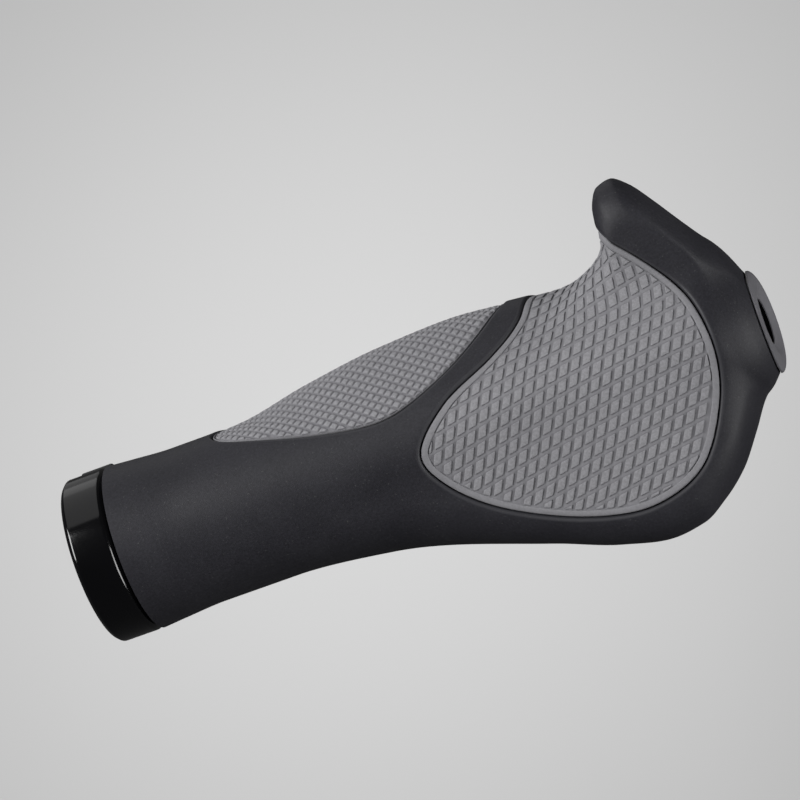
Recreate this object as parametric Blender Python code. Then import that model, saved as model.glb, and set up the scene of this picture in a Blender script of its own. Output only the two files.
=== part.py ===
# Right-hand ergonomic handlebar grip with a palm wing, a short horn and a clamp ring.
#
# The X axis is the axis of the handlebar, with x = 0 at the inner face of the clamp ring and
# +X towards the outer end of the bar. +Y is forwards and +Z is up. Sizes are in millimetres.
# The rubber body is a skin of sections square to the bar. Angles round the bar start at the
# front and run over the top to the rear. The skin unrolls to a flat sheet with u along the bar
# and v round it, from the top line, positive to the rear. The two pads are drawn on that sheet.

import math

import bmesh
import bpy
import numpy as np
from mathutils import Vector
from mathutils.geometry import delaunay_2d_cdt

MM = 0.001

# Gap left between pieces that touch
FIT = 0.3

# Hard sleeve that slides on the handlebar
BAR_DIAMETER = 22.2
BAR_PLAY = 0.1
SLEEVE_WALL = 1.4
TAIL_WALL = 1.0
TAIL_SLOTS = 4
TAIL_SLOT_WIDTH = 2.0
TAIL_INSET = 0.4
NECK_DIAMETER = 18.0
END_WALL = 0.9
END_SHOULDER = 2.6
END_SHOULDER_DISTANCE = 9.0
END_HOLE_DIAMETER = 9.0
CAP_DIAMETER = 20.2
CAP_STANDS_OUT = 2.1
CAP_EDGE = 0.2
CAP_CREST_DIAMETER = 14.8
CAP_DISH = 0.9

# Clamp ring and its bolt
RING_WIDTH = 8.5
RING_STEP = 0.9
RING_CHAMFER = 0.8
RING_GAP = 0.4
LUG_ANGLE = -27.0
LUG_WALL = 0.9
SLIT_WIDTH = 1.2
BOLT_DIAMETER = 2.5
BOLT_LENGTH = 8.0
BOLT_HEAD_DIAMETER = 4.5
BOLT_HEAD_LENGTH = 2.5
BOLT_SOCKET_ACROSS_FLATS = 2.0
BOLT_SOCKET_DEPTH = 1.3
BOLT_CHAMFER = 0.3
BOLT_SEAT = 2.4

# Rubber body
BODY_LENGTH = 127.1
RUBBER_WALL = 2.6
FLANGE_STEP = 0.9
END_RIM = 0.7
WING_ANGLE = 184.0
SWELL_ANGLE = 5.0
SWELL_TIP_SHARE = 0.62
HORN_ANGLE = 30.0
HORN_START_DISTANCE = 40.0
HORN_ROOT_RADIUS = 9.5
HORN_FILLET = 5.0
HORN_LEAN = 0.35

# Pads let into the body
PAD_RECESS = 0.35
PAD_THICKNESS = 1.1
PALM_BAND_WIDTH = 1.3
PALM_GROOVE_DEPTH = 0.5
PALM_GROOVE_WIDTH = 0.64
PALM_CROSS_PITCH = 2.05
PALM_CROSS_ANGLE = 67.0
PALM_CROSS_BEND_RADIUS = 156.0
PALM_LONG_PITCH = 2.68
PALM_LONG_ANGLE = 9.0
PALM_LONG_BEND_RADIUS = 475.0
FINGER_BAND_WIDTH = 0.45
FINGER_GROOVE_DEPTH = 0.4
FINGER_GROOVE_WIDTH = 0.54
FINGER_CROSS_PITCH = 1.565
FINGER_CROSS_ANGLE = 47.5
FINGER_DOWN_PITCH = 1.7
FINGER_DOWN_ANGLE = -43.5
SMALLEST_BLOCK_SHARE = 0.2

# Fineness of the meshes
ROUND_SEGMENTS = 48
SMALL_ROUND_SEGMENTS = 24
STATION_STEP = 5.0
HORN_STATION_STEP = 1.6
HORN_STATIONS_DISTANCE = 24.0
LAST_STATION_DISTANCE = 0.5
OUTLINE_STEPS = 5
RIM_CLEARANCE = 1.1
PAD_BACK_STEP = 3.2
POCKET_DRAFT = 0.15
EVEN_HALF_LENGTH = 50.0
SMALL_TURN = 0.05

# Sizes that follow from the ones above
BORE_RADIUS = BAR_DIAMETER / 2 + BAR_PLAY
SLEEVE_RADIUS = BORE_RADIUS + SLEEVE_WALL
TAIL_RADIUS = BORE_RADIUS + TAIL_WALL
BODY_BORE_RADIUS = SLEEVE_RADIUS + FIT
TUBE_RADIUS = BODY_BORE_RADIUS + RUBBER_WALL
NECK_RADIUS = NECK_DIAMETER / 2
CAP_RADIUS = CAP_DIAMETER / 2
END_BORE_RADIUS = NECK_RADIUS + FIT
END_RADIUS = END_BORE_RADIUS + END_RIM
INNER_END = RING_WIDTH + RING_GAP
OUTER_END = INNER_END + BODY_LENGTH
CAP_FACE = OUTER_END + CAP_STANDS_OUT
SLEEVE_SHOULDER = OUTER_END - END_SHOULDER_DISTANCE
RING_BORE_RADIUS = TAIL_RADIUS + FIT
RING_RADIUS = TUBE_RADIUS + RING_STEP
BOLT_CENTRE = RING_BORE_RADIUS + LUG_WALL + BOLT_HEAD_DIAMETER / 2
SEAT_RADIUS = BOLT_HEAD_DIAMETER / 2 + FIT
LUG_TOP = BOLT_CENTRE + SEAT_RADIUS + LUG_WALL
LUG_WIDTH = (SEAT_RADIUS + LUG_WALL) * 2
LUG_HEIGHT = (BOLT_SEAT + FIT + BOLT_HEAD_LENGTH + FIT) * 2
HORN_START = OUTER_END - HORN_START_DISTANCE
POCKET_FLOOR = PAD_RECESS + PAD_THICKNESS + FIT


def stations(from_inner_end, from_outer_end):
    """Places along the bar, measured from the body's inner end and back from its outer end.

    Only the flange is measured from the inner end, so a shorter body loses some of its plain tube
    and keeps the shape of the wing, the swell and the horn.
    """
    inner = [(INNER_END + distance, value) for distance, value in from_inner_end]
    outer = [(OUTER_END - distance, value) for distance, value in from_outer_end]
    return inner + outer


# How far the skin stands beyond the tube radius, along the bar
END_DROP = END_RADIUS - TUBE_RADIUS
TUBE_EXTRA = stations(
    [(0, FLANGE_STEP), (5, 0.5), (13, 0)],
    [(16, 0), (9, -0.4), (5, -1.8), (2, -3.5), (0, END_DROP)],
)
SWELL_EXTRA = stations(
    [(0, FLANGE_STEP), (13, 0)],
    [(100.1, 0.65), (86.1, 3.3), (70.1, 5.4), (56.1, 6.0), (44, 5.0), (34, 4.1), (24, 3.8), (16, 2.7),
     (8, 0.1), (2, -3.2), (0, END_DROP)],
)
WING_EXTRA = stations(
    [(0, FLANGE_STEP), (13, 0)],
    [(100.1, 0), (80.1, 2.0), (50.1, 11.0), (38, 15.5), (28, 17.6), (22, 16.7), (17, 13.8), (12, 9.5),
     (7.5, 3.4), (4, -1.8), (0, END_DROP)],
)
HORN_EXTRA = stations(
    [],
    [(HORN_START_DISTANCE, -4.5), (32, 1.5), (28, 4.1), (23.5, 6.7), (21.3, 8.3), (19, 12.0), (16.5, 16.5),
     (13.5, 19.2), (10.4, 19.8), (8, 17.5), (6.4, 13.6), (4.7, 8.8), (2.8, 4.2), (1.2, 1.4),
     (0.4, -1.6), (0, END_DROP - HORN_FILLET)],
)

# Roundness of the rear edge of the wing and of the horn's tip, as radii along the bar
WING_TIP_RADIUS = stations(
    [(0, TUBE_RADIUS + FLANGE_STEP), (13, TUBE_RADIUS)],
    [(80.1, 13.0), (50.1, 9.0), (28, 7.5), (12, 8.5), (4, 10.0), (0, END_RADIUS)],
)
HORN_TIP_RADIUS = stations([], [(HORN_START_DISTANCE, 7.5), (19, 7.4), (12, 8.3), (0, 9.0)])
HORN_ROOT = stations(
    [], [(HORN_START_DISTANCE, HORN_ROOT_RADIUS), (8, HORN_ROOT_RADIUS), (0, END_RADIUS - HORN_FILLET)],
)

# Outlines of the pads on the unrolled sheet: u from a middle point along the bar, and v.
# A lattice middle is where two grooves cross, measured in the same way.
PALM_MIDDLE = OUTER_END - 36.0
PALM_OUTLINE = [
    (-31.0, 7.0), (-24.0, -0.8), (-13.5, -7.2), (-6.5, -14.5), (-3.2, -24.0), (2.0, -32.0), (10.0, -33.2),
    (15.8, -28.5), (18.4, -21.2), (22.2, -13.8), (26.2, -3.5), (27.3, 7.0), (24.6, 17.2), (17.5, 27.0),
    (6.0, 30.6), (-7.0, 28.2), (-19.7, 22.1), (-28.2, 14.6),
]
PALM_LATTICE_MIDDLE = (-0.93, -0.38)
FINGER_MIDDLE = PALM_MIDDLE - 39.1
FINGER_OUTLINE = [
    (-30.3, -17.5), (-28.4, -11.6), (-19.2, -6.9), (-7.9, -3.2), (3.1, -1.6), (12.1, -4.3), (21.1, -10.4),
    (28.7, -18.6), (30.4, -24.5), (25.0, -31.0), (13.0, -35.8), (-1.0, -36.5), (-16.0, -32.5), (-27.0, -24.5),
]
FINGER_LATTICE_MIDDLE = (0.07, -18.92)


def along(profile, u):
    """Value of a profile at places u, as a smooth curve that never overshoots its stations."""
    table = np.array(profile, float)
    at, value = table[:, 0], table[:, 1]
    step = np.diff(at)
    rise = np.diff(value) / step
    slope = np.zeros(len(at))
    slope[0], slope[-1] = rise[0], rise[-1]
    for i in range(1, len(at) - 1):
        if rise[i - 1] * rise[i] > 0:
            before = step[i] * 2 + step[i - 1]
            after = step[i] + step[i - 1] * 2
            slope[i] = (before + after) / (before / rise[i - 1] + after / rise[i])
    u = np.clip(u, at[0], at[-1])
    i = np.clip(np.searchsorted(at, u, side="right") - 1, 0, len(step) - 1)
    t = (u - at[i]) / step[i]
    start = (1 + 2 * t) * (1 - t) ** 2 * value[i] + t * (1 - t) ** 2 * step[i] * slope[i]
    end = t * t * (3 - 2 * t) * value[i + 1] + t * t * (t - 1) * step[i] * slope[i + 1]
    return start + end


def hull_radius(turn, base, tip, reach):
    """Polar radius of the hull of a circle round the bar and a tip circle that ends at the reach.

    The turn is the angle from the direction of the tip, in radians.
    """
    tip = np.minimum(tip, base)
    reach = np.maximum(reach, base)
    centre = np.maximum(reach - tip, 1e-6)
    turn = np.abs(turn)
    tangent = np.arccos(np.clip((base - tip) / centre, -1, 1))
    tip_ends = np.arctan2(tip * np.sin(tangent), centre + tip * np.cos(tangent))
    cap = centre * np.cos(turn) + np.sqrt(np.maximum(tip ** 2 - (centre * np.sin(turn)) ** 2, 0))
    flat = base / np.maximum(np.cos(tangent - turn), 1e-3)
    return np.where(turn < tip_ends, cap, np.where(turn < tangent, flat, base))


def turn_from(angle, direction):
    """Angle from a direction, in radians, for angles in degrees."""
    return np.radians((angle - direction + 180) % 360 - 180)


def skin(u, angle):
    """Points of the body's skin at places u and angles round the bar, in degrees."""
    u, angle = np.broadcast_arrays(np.asarray(u, float), np.asarray(angle, float))
    tube = TUBE_RADIUS + along(TUBE_EXTRA, u)
    wing_reach = TUBE_RADIUS + along(WING_EXTRA, u)
    wing = hull_radius(turn_from(angle, WING_ANGLE), tube, along(WING_TIP_RADIUS, u), wing_reach)
    swell_reach = TUBE_RADIUS + along(SWELL_EXTRA, u)
    swell = hull_radius(turn_from(angle, SWELL_ANGLE), tube, SWELL_TIP_SHARE * tube, swell_reach)
    plain = wing + swell - tube
    horn_reach = TUBE_RADIUS + along(HORN_EXTRA, u)
    horn_tip = along(HORN_TIP_RADIUS, u)
    horn = hull_radius(turn_from(angle, HORN_ANGLE), along(HORN_ROOT, u), horn_tip, horn_reach)
    blend = np.maximum(HORN_FILLET - np.abs(plain - horn), 0) / HORN_FILLET
    joined = np.maximum(plain, horn) + blend ** 2 * HORN_FILLET / 4
    radius = np.where(u > HORN_START, joined, plain)
    leaning = u - HORN_LEAN * (radius - plain)
    turned = np.radians(angle)
    return np.stack([leaning, radius * np.cos(turned), radius * np.sin(turned)], axis=-1)


class Sheet:
    """The unrolled skin: finds the angle round the bar for a distance v from the top line."""

    BOTTOM = -90.0
    TOP = 90.0

    def __init__(self):
        self.u = np.linspace(INNER_END, OUTER_END, 301)
        self.angle = np.linspace(self.BOTTOM, self.BOTTOM + 360, 721)
        points = skin(self.u[:, None], self.angle[None, :])
        steps = np.linalg.norm(np.diff(points, axis=1), axis=-1)
        length = np.concatenate([np.zeros((len(self.u), 1)), np.cumsum(steps, axis=1)], axis=1)
        top = int(np.argmin(np.abs(self.angle - self.TOP)))
        v = length - length[:, top:top + 1]
        self.front = -v[:, 0]
        self.rear = v[:, -1]
        self.part = np.where(v < 0, v / self.front[:, None], v / self.rear[:, None])

    def half_lengths(self, u):
        """Distances from the top line to the bottom line, round the front and round the rear."""
        return np.interp(u, self.u, self.front), np.interp(u, self.u, self.rear)

    def angles(self, u, v):
        u, v = np.atleast_1d(np.asarray(u, float)), np.atleast_1d(np.asarray(v, float))
        front, rear = self.half_lengths(u)
        part = np.clip(v / np.where(v < 0, front, rear), -1, 1)
        place = (np.clip(u, INNER_END, OUTER_END) - INNER_END) / BODY_LENGTH * (len(self.u) - 1)
        row = np.minimum(place.astype(int), len(self.u) - 2)
        share = place - row
        found = np.empty(len(u))
        for i in range(len(u)):
            here = np.interp(part[i], self.part[row[i]], self.angle)
            beyond = np.interp(part[i], self.part[row[i] + 1], self.angle)
            found[i] = here * (1 - share[i]) + beyond * share[i]
        return found

    def points(self, u, v, depth):
        """Points at a depth under the skin, measured square to it."""
        u = np.atleast_1d(np.asarray(u, float))
        angle = self.angles(u, v)
        before = np.clip(u - SMALL_TURN, INNER_END, OUTER_END)
        after = np.clip(u + SMALL_TURN, INNER_END, OUTER_END)
        lengthwise = skin(after, angle) - skin(before, angle)
        across = skin(u, angle + SMALL_TURN) - skin(u, angle - SMALL_TURN)
        normal = np.cross(across, lengthwise)
        normal /= np.linalg.norm(normal, axis=1, keepdims=True)
        return skin(u, angle) - normal * np.reshape(depth, (-1, 1))


def closed_curve(corners, steps):
    """Smooth closed curve through the corners, as a loop of flat points."""
    corners = np.array(corners, float)
    loop = []
    for i in range(len(corners)):
        before, start, end, after = (corners[(i + k) % len(corners)] for k in (-1, 0, 1, 2))
        for t in np.arange(steps) / steps:
            bend = (2 * before - 5 * start + 4 * end - after) * t ** 2
            turn = (3 * start - before - 3 * end + after) * t ** 3
            loop.append((2 * start + (end - before) * t + bend + turn) / 2)
    return np.array(loop)


def inset_loop(loop, distance):
    """The loop moved inwards by a distance, for a loop that runs either way round."""
    ahead, behind = np.roll(loop, -1, axis=0), np.roll(loop, 1, axis=0)
    direction = ahead - behind
    direction /= np.linalg.norm(direction, axis=1, keepdims=True)
    area = np.sum(loop[:, 0] * ahead[:, 1] - ahead[:, 0] * loop[:, 1])
    inwards = np.stack([-direction[:, 1], direction[:, 0]], axis=1) * np.sign(area)
    return loop + inwards * distance


def inside(loop, points):
    """True for each flat point that lies inside the loop."""
    points = np.atleast_2d(points)
    start, end = loop, np.roll(loop, -1, axis=0)
    x, y = points[:, 0:1], points[:, 1:2]
    spans = (start[:, 1] > y) != (end[:, 1] > y)
    rise = np.where(end[:, 1] == start[:, 1], 1.0, end[:, 1] - start[:, 1])
    crossing = start[:, 0] + (y - start[:, 1]) * (end[:, 0] - start[:, 0]) / rise
    return np.sum(spans & (x < crossing), axis=1) % 2 == 1


def distance_to(loop, points):
    """Distance from each flat point to the loop's nearest side."""
    points = np.atleast_2d(points)
    start, side = loop, np.roll(loop, -1, axis=0) - loop
    offset = points[:, None, :] - start[None, :, :]
    share = np.clip(np.sum(offset * side, axis=2) / np.sum(side ** 2, axis=1), 0, 1)
    return np.min(np.linalg.norm(offset - share[..., None] * side, axis=2), axis=1)


def clip_to_cell(loop, cell):
    """The part of the loop that lies in a cell with straight sides and no hollow corner."""
    area = sum(a[0] * b[1] - b[0] * a[1] for a, b in zip(cell, np.roll(cell, -1, axis=0)))
    kept = [np.array(point) for point in loop]
    for start, end in zip(cell, np.roll(cell, -1, axis=0)):
        side = (end - start) * np.sign(area)
        heights = [side[0] * (p[1] - start[1]) - side[1] * (p[0] - start[0]) for p in kept]
        clipped = []
        for i in range(len(kept)):
            j = (i + 1) % len(kept)
            if heights[i] >= 0:
                clipped.append(kept[i])
            if (heights[i] >= 0) != (heights[j] >= 0):
                share = heights[i] / (heights[i] - heights[j])
                clipped.append(kept[i] + (kept[j] - kept[i]) * share)
        kept = clipped
        if len(kept) < 3:
            return []
    return np.array(kept)


def polygon_area(polygon):
    ahead = np.roll(polygon, -1, axis=0)
    return abs(np.sum(polygon[:, 0] * ahead[:, 1] - ahead[:, 0] * polygon[:, 1])) / 2


class FlatMesh:
    """Flat points with a depth each and the edges to keep, made into triangles in one go."""

    def __init__(self):
        self.points, self.depths, self.edges = [], [], []

    def add_points(self, points, depth):
        self.points += [tuple(point) for point in points]
        self.depths += [depth] * len(points)

    def add_loop(self, loop, depth):
        first = len(self.points)
        self.add_points(loop, depth)
        self.edges += [(first + i, first + (i + 1) % len(loop)) for i in range(len(loop))]

    def triangles(self, new_point_depth, only_inside):
        """Flat points, their depths and triangles. Points made by crossings take their own depth."""
        vectors = [Vector(point) for point in self.points]
        kind = 1 if only_inside else 0
        points, _, faces, origins, _, _ = delaunay_2d_cdt(vectors, self.edges, [], kind, 1e-4)
        depths = [self.depths[origin[0]] if origin else new_point_depth for origin in origins]
        return np.array([tuple(point) for point in points]), np.array(depths), [tuple(f) for f in faces]


def make_object(name, mesh, material):
    item = bpy.data.objects.new(name, mesh)
    bpy.context.scene.collection.objects.link(item)
    mesh.materials.append(material)
    return item


def mesh_from(name, points, faces, sharp_degrees):
    """A closed mesh from points in millimetres, welded, facing out and shaded smooth."""
    shape = bmesh.new()
    corners = [shape.verts.new(Vector(point) * MM) for point in points]
    for face in faces:
        if len(set(face)) == len(face):
            shape.faces.new([corners[i] for i in face])
    bmesh.ops.remove_doubles(shape, verts=shape.verts[:], dist=0.0005 * MM)
    bmesh.ops.dissolve_degenerate(shape, edges=shape.edges[:], dist=0.0005 * MM)
    loose = [corner for corner in shape.verts if not corner.link_faces]
    bmesh.ops.delete(shape, geom=loose, context="VERTS")
    bmesh.ops.recalc_face_normals(shape, faces=shape.faces[:])
    mesh = bpy.data.meshes.new(name)
    shape.to_mesh(mesh)
    shape.free()
    mesh.shade_smooth()
    mesh.set_sharp_from_angle(angle=math.radians(sharp_degrees))
    return mesh


def turned_mesh(name, profile, segments):
    """A ring turned round the X axis from a closed profile of places along the bar and radii."""
    points, faces = [], []
    for x, radius in profile:
        for k in range(segments):
            turn = 2 * math.pi * k / segments
            points.append((x, radius * math.cos(turn), radius * math.sin(turn)))
    count = len(profile)
    for i in range(count):
        here, there = i * segments, (i + 1) % count * segments
        for k in range(segments):
            j = (k + 1) % segments
            faces.append((here + k, here + j, there + j, there + k))
    return mesh_from(name, points, faces, 30)


def box_cutter(name, low, high):
    """A hidden box between two corners, in millimetres."""
    shape = bmesh.new()
    bmesh.ops.create_cube(shape, size=1.0)
    size = [(b - a) * MM for a, b in zip(low, high)]
    middle = [(a + b) / 2 * MM for a, b in zip(low, high)]
    bmesh.ops.scale(shape, vec=size, verts=shape.verts[:])
    bmesh.ops.translate(shape, vec=middle, verts=shape.verts[:])
    return hidden_object(name, shape)


def rod_cutter(name, radius, start, end, segments):
    """A hidden rod along Z through the bolt's place, in millimetres."""
    shape = bmesh.new()
    bmesh.ops.create_cone(
        shape, cap_ends=True, segments=segments, radius1=radius * MM, radius2=radius * MM,
        depth=(end - start) * MM,
    )
    middle = (RING_WIDTH / 2 * MM, BOLT_CENTRE * MM, (start + end) / 2 * MM)
    bmesh.ops.translate(shape, vec=middle, verts=shape.verts[:])
    return hidden_object(name, shape)


def hidden_object(name, shape):
    mesh = bpy.data.meshes.new(name)
    shape.to_mesh(mesh)
    shape.free()
    item = bpy.data.objects.new(name, mesh)
    bpy.context.scene.collection.objects.link(item)
    item.hide_render = True
    item.display_type = "WIRE"
    return item


def boolean(item, cutter, operation):
    change = item.modifiers.new(cutter.name, "BOOLEAN")
    change.operation = operation
    change.solver = "EXACT"
    change.object = cutter


def material(name, colour, roughness, metallic=0.0):
    made = bpy.data.materials.new(name)
    made.use_nodes = True
    shader = made.node_tree.nodes["Principled BSDF"]
    shader.inputs["Base Color"].default_value = (*colour, 1)
    shader.inputs["Roughness"].default_value = roughness
    shader.inputs["Metallic"].default_value = metallic
    return made


def station_places():
    """Places of the body's sections along the bar, closer together at the horn and the end."""
    plain = np.linspace(INNER_END, HORN_START, 1 + round((HORN_START - INNER_END) / STATION_STEP))
    middle = OUTER_END - HORN_STATIONS_DISTANCE
    rising = np.linspace(HORN_START, middle, 1 + round((middle - HORN_START) / STATION_STEP))
    horn = np.linspace(middle, OUTER_END, 1 + round((OUTER_END - middle) / HORN_STATION_STEP))
    return np.concatenate([plain, rising[1:], horn[1:-1], [OUTER_END - LAST_STATION_DISTANCE, OUTER_END]])


def make_body(sheet, palm, finger, rubber):
    """The rubber body: the skin with two pockets, closed by the bore and the two ends."""
    share = np.linspace(-1, 1, ROUND_SEGMENTS + 1)
    places = station_places()
    grid_u, grid_share = (a.ravel() for a in np.meshgrid(places, share, indexing="ij"))
    front, rear = sheet.half_lengths(grid_u)
    grid_v = np.where(grid_share < 0, grid_share * front, grid_share * rear)
    flat = np.stack([grid_u, grid_v], axis=1)
    free = np.ones(len(flat), bool)
    pocket = np.zeros(len(flat), bool)
    rims, feet = [], []
    for outline in (palm, finger):
        foot = inset_loop(outline, POCKET_DRAFT)
        rims.append(outline)
        feet.append(foot)
        free &= distance_to(outline, flat) > RIM_CLEARANCE
        pocket |= inside(foot, flat)

    def sheet_place(points):
        """Place on a sheet whose front and rear halves are all the same length."""
        to_front, to_rear = sheet.half_lengths(points[:, 0])
        half = np.where(points[:, 1] < 0, to_front, to_rear)
        return np.stack([points[:, 0], points[:, 1] / half * EVEN_HALF_LENGTH], axis=1)

    net = FlatMesh()
    even = np.stack([grid_u, grid_share * EVEN_HALF_LENGTH], axis=1)
    net.add_points(even[free & ~pocket], 0.0)
    net.add_points(even[free & pocket], POCKET_FLOOR)
    for rim, foot in zip(rims, feet):
        net.add_loop(sheet_place(rim), 0.0)
        net.add_loop(sheet_place(foot), POCKET_FLOOR)
    flat_points, depths, faces = net.triangles(0.0, only_inside=False)
    u = flat_points[:, 0]
    front, rear = sheet.half_lengths(u)
    v = flat_points[:, 1] / EVEN_HALF_LENGTH * np.where(flat_points[:, 1] < 0, front, rear)
    points = [tuple(point) for point in sheet.points(u, v, depths)]

    inner_end_u, outer_end_u = places[0], places[-1]
    bore = [
        (inner_end_u, TUBE_RADIUS + FLANGE_STEP), (inner_end_u, BODY_BORE_RADIUS),
        (SLEEVE_SHOULDER + FIT, BODY_BORE_RADIUS),
        (SLEEVE_SHOULDER + FIT + END_SHOULDER, END_BORE_RADIUS),
        (outer_end_u, END_BORE_RADIUS), (outer_end_u, END_RADIUS),
    ]
    first = len(points)
    for x, radius in bore:
        for k in range(ROUND_SEGMENTS):
            turn = math.radians(Sheet.BOTTOM + 360 * k / ROUND_SEGMENTS)
            points.append((x, radius * math.cos(turn), radius * math.sin(turn)))
    for i in range(len(bore) - 1):
        here, there = first + i * ROUND_SEGMENTS, first + (i + 1) * ROUND_SEGMENTS
        for k in range(ROUND_SEGMENTS):
            j = (k + 1) % ROUND_SEGMENTS
            faces.append((here + k, here + j, there + j, there + k))
    return make_object("grip_body", mesh_from("grip_body", points, faces, 40), rubber)


def lattice_cells(loop, origin, lattice_middle, pitches, angles, bend_radii):
    """Cells between two families of grooves that cover a loop, as corners on the sheet.

    The angles are measured from the bar's direction towards the front. The first family bends
    with the distance round the bar and the second one with the distance along it.
    """
    cross = np.radians(angles[0])
    long = np.radians(angles[1])
    lean = abs(math.sin(cross - long))
    along_long = np.array([math.cos(long), -math.sin(long)]) * pitches[0] / lean
    along_cross = np.array([math.cos(cross), -math.sin(cross)]) * pitches[1] / lean

    def bent(point):
        u = point[0] - point[1] ** 2 / (2 * bend_radii[0])
        return origin + (u, point[1] + u ** 2 / (2 * bend_radii[1]))

    reach = np.max(np.linalg.norm(loop - origin - lattice_middle, axis=1)) + max(pitches) * 2
    count = int(reach / min(pitches)) + 1
    cells = []
    for i in range(-count, count):
        for j in range(-count, count):
            centre = along_long * (i + 0.5) + along_cross * (j + 0.5)
            if np.linalg.norm(centre) > reach:
                continue
            corners = [(i, j), (i + 1, j), (i + 1, j + 1), (i, j + 1)]
            flat = [lattice_middle + along_long * a + along_cross * b for a, b in corners]
            cells.append(np.array([bent(point) for point in flat]))
    return cells


def shrunk_cell(cell, distance):
    """The four-sided cell with each side moved inwards by a distance."""
    centre = cell.mean(axis=0)
    moved = []
    for i in range(4):
        sides = []
        for start, end in ((cell[i - 1], cell[i]), (cell[i], cell[(i + 1) % 4])):
            normal = np.array([-(end - start)[1], (end - start)[0]])
            normal /= np.linalg.norm(normal)
            if np.dot(normal, centre - start) < 0:
                normal = -normal
            sides.append((normal, np.dot(normal, start) + distance))
        moved.append(np.linalg.solve(np.array([sides[0][0], sides[1][0]]), [sides[0][1], sides[1][1]]))
    return np.array(moved)


def make_pad(name, sheet, outline, cells, band_width, groove_width, groove_depth, rubber):
    """A pad with a smooth band round raised blocks, let into its pocket with a small gap."""
    edge = inset_loop(outline, FIT)
    band_edge = inset_loop(outline, FIT + band_width)
    field = inset_loop(outline, FIT + band_width + groove_width / 2)
    blocks_edge = inset_loop(outline, FIT + band_width + groove_width)
    top, groove = PAD_RECESS, PAD_RECESS + groove_depth
    back = PAD_RECESS + PAD_THICKNESS

    net = FlatMesh()
    net.add_loop(edge, top)
    net.add_loop(band_edge, top)
    net.add_loop(field, groove)
    whole_block = polygon_area(shrunk_cell(cells[0], groove_width / 2))
    for cell in cells:
        corners_inside = inside(field, cell)
        clear = corners_inside.all() and distance_to(field, cell).min() > groove_width
        if clear:
            net.add_loop(cell, groove)
            net.add_loop(shrunk_cell(cell, groove_width / 2), top)
            continue
        ground = clip_to_cell(field, cell)
        if len(ground) < 3:
            continue
        net.add_loop(ground, groove)
        block = clip_to_cell(blocks_edge, shrunk_cell(cell, groove_width / 2))
        if len(block) >= 3 and polygon_area(np.array(block)) > whole_block * SMALLEST_BLOCK_SHARE:
            net.add_loop(block, top)
    flat_points, depths, faces = net.triangles(groove, only_inside=True)
    points = [tuple(point) for point in sheet.points(flat_points[:, 0], flat_points[:, 1], depths)]

    low, high = edge.min(axis=0), edge.max(axis=0)
    us = np.arange(low[0], high[0], PAD_BACK_STEP)
    vs = np.arange(low[1], high[1], PAD_BACK_STEP)
    grid = np.array([(a, b) for a in us for b in vs])
    grid = grid[inside(edge, grid) & (distance_to(edge, grid) > PAD_BACK_STEP / 2)]
    back_net = FlatMesh()
    back_net.add_loop(edge, back)
    back_net.add_points(grid, back)
    back_flat, back_depths, back_faces = back_net.triangles(back, only_inside=True)
    first = len(points)
    points += [tuple(point) for point in sheet.points(back_flat[:, 0], back_flat[:, 1], back_depths)]
    faces += [tuple(first + i for i in face) for face in back_faces]

    def index_of(place, table):
        return int(np.argmin(np.sum((table - place) ** 2, axis=1)))

    for i in range(len(edge)):
        start, end = edge[i], edge[(i + 1) % len(edge)]
        above = (index_of(start, flat_points), index_of(end, flat_points))
        below = (first + index_of(end, back_flat), first + index_of(start, back_flat))
        faces.append(above + below)
    return make_object(name, mesh_from(name, points, faces, 20), rubber)


def cap_face_profile(hole):
    """Profile of the end cap's face: a round shoulder up to a crest, and a dish down to the hole."""
    edge = OUTER_END + FIT + CAP_EDGE
    crest = CAP_CREST_DIAMETER / 2
    shoulder = [
        (edge + (CAP_FACE - edge) * math.sin(turn), crest + (CAP_RADIUS - crest) * math.cos(turn))
        for turn in np.radians([0, 22.5, 45, 67.5, 90])
    ]
    dish = [
        (CAP_FACE - CAP_DISH * (1 - math.cos(turn)) / 2, crest + (hole - crest) * turn / math.pi)
        for turn in np.radians([60, 120, 180])
    ]
    return shoulder + dish


def make_sleeve(plastic):
    """The hard sleeve: slotted tail, tube, shoulder, neck and the end cap with its hole."""
    hole = END_HOLE_DIAMETER / 2
    neck_bore = NECK_RADIUS - SLEEVE_WALL
    cap_back = CAP_FACE - CAP_DISH - END_WALL
    profile = [
        (TAIL_INSET, BORE_RADIUS), (TAIL_INSET, TAIL_RADIUS), (INNER_END, TAIL_RADIUS),
        (INNER_END, SLEEVE_RADIUS), (SLEEVE_SHOULDER, SLEEVE_RADIUS),
        (SLEEVE_SHOULDER + END_SHOULDER, NECK_RADIUS), (OUTER_END + FIT, NECK_RADIUS),
        (OUTER_END + FIT, CAP_RADIUS), *cap_face_profile(hole), (cap_back, hole), (cap_back, neck_bore),
        (SLEEVE_SHOULDER + END_SHOULDER, neck_bore), (SLEEVE_SHOULDER, BORE_RADIUS),
    ]
    item = make_object("core_sleeve", turned_mesh("core_sleeve", profile, ROUND_SEGMENTS), plastic)
    for k in range(TAIL_SLOTS // 2):
        half = TAIL_SLOT_WIDTH / 2
        far = TAIL_RADIUS + FIT / 2
        slot = box_cutter(f"tail_slot_cutter_{k}", (-FIT, -far, -half), (RING_WIDTH - FIT, far, half))
        slot.rotation_euler = (math.radians(45 + 90 * k), 0, 0)
        boolean(item, slot, "DIFFERENCE")
    return item


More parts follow.
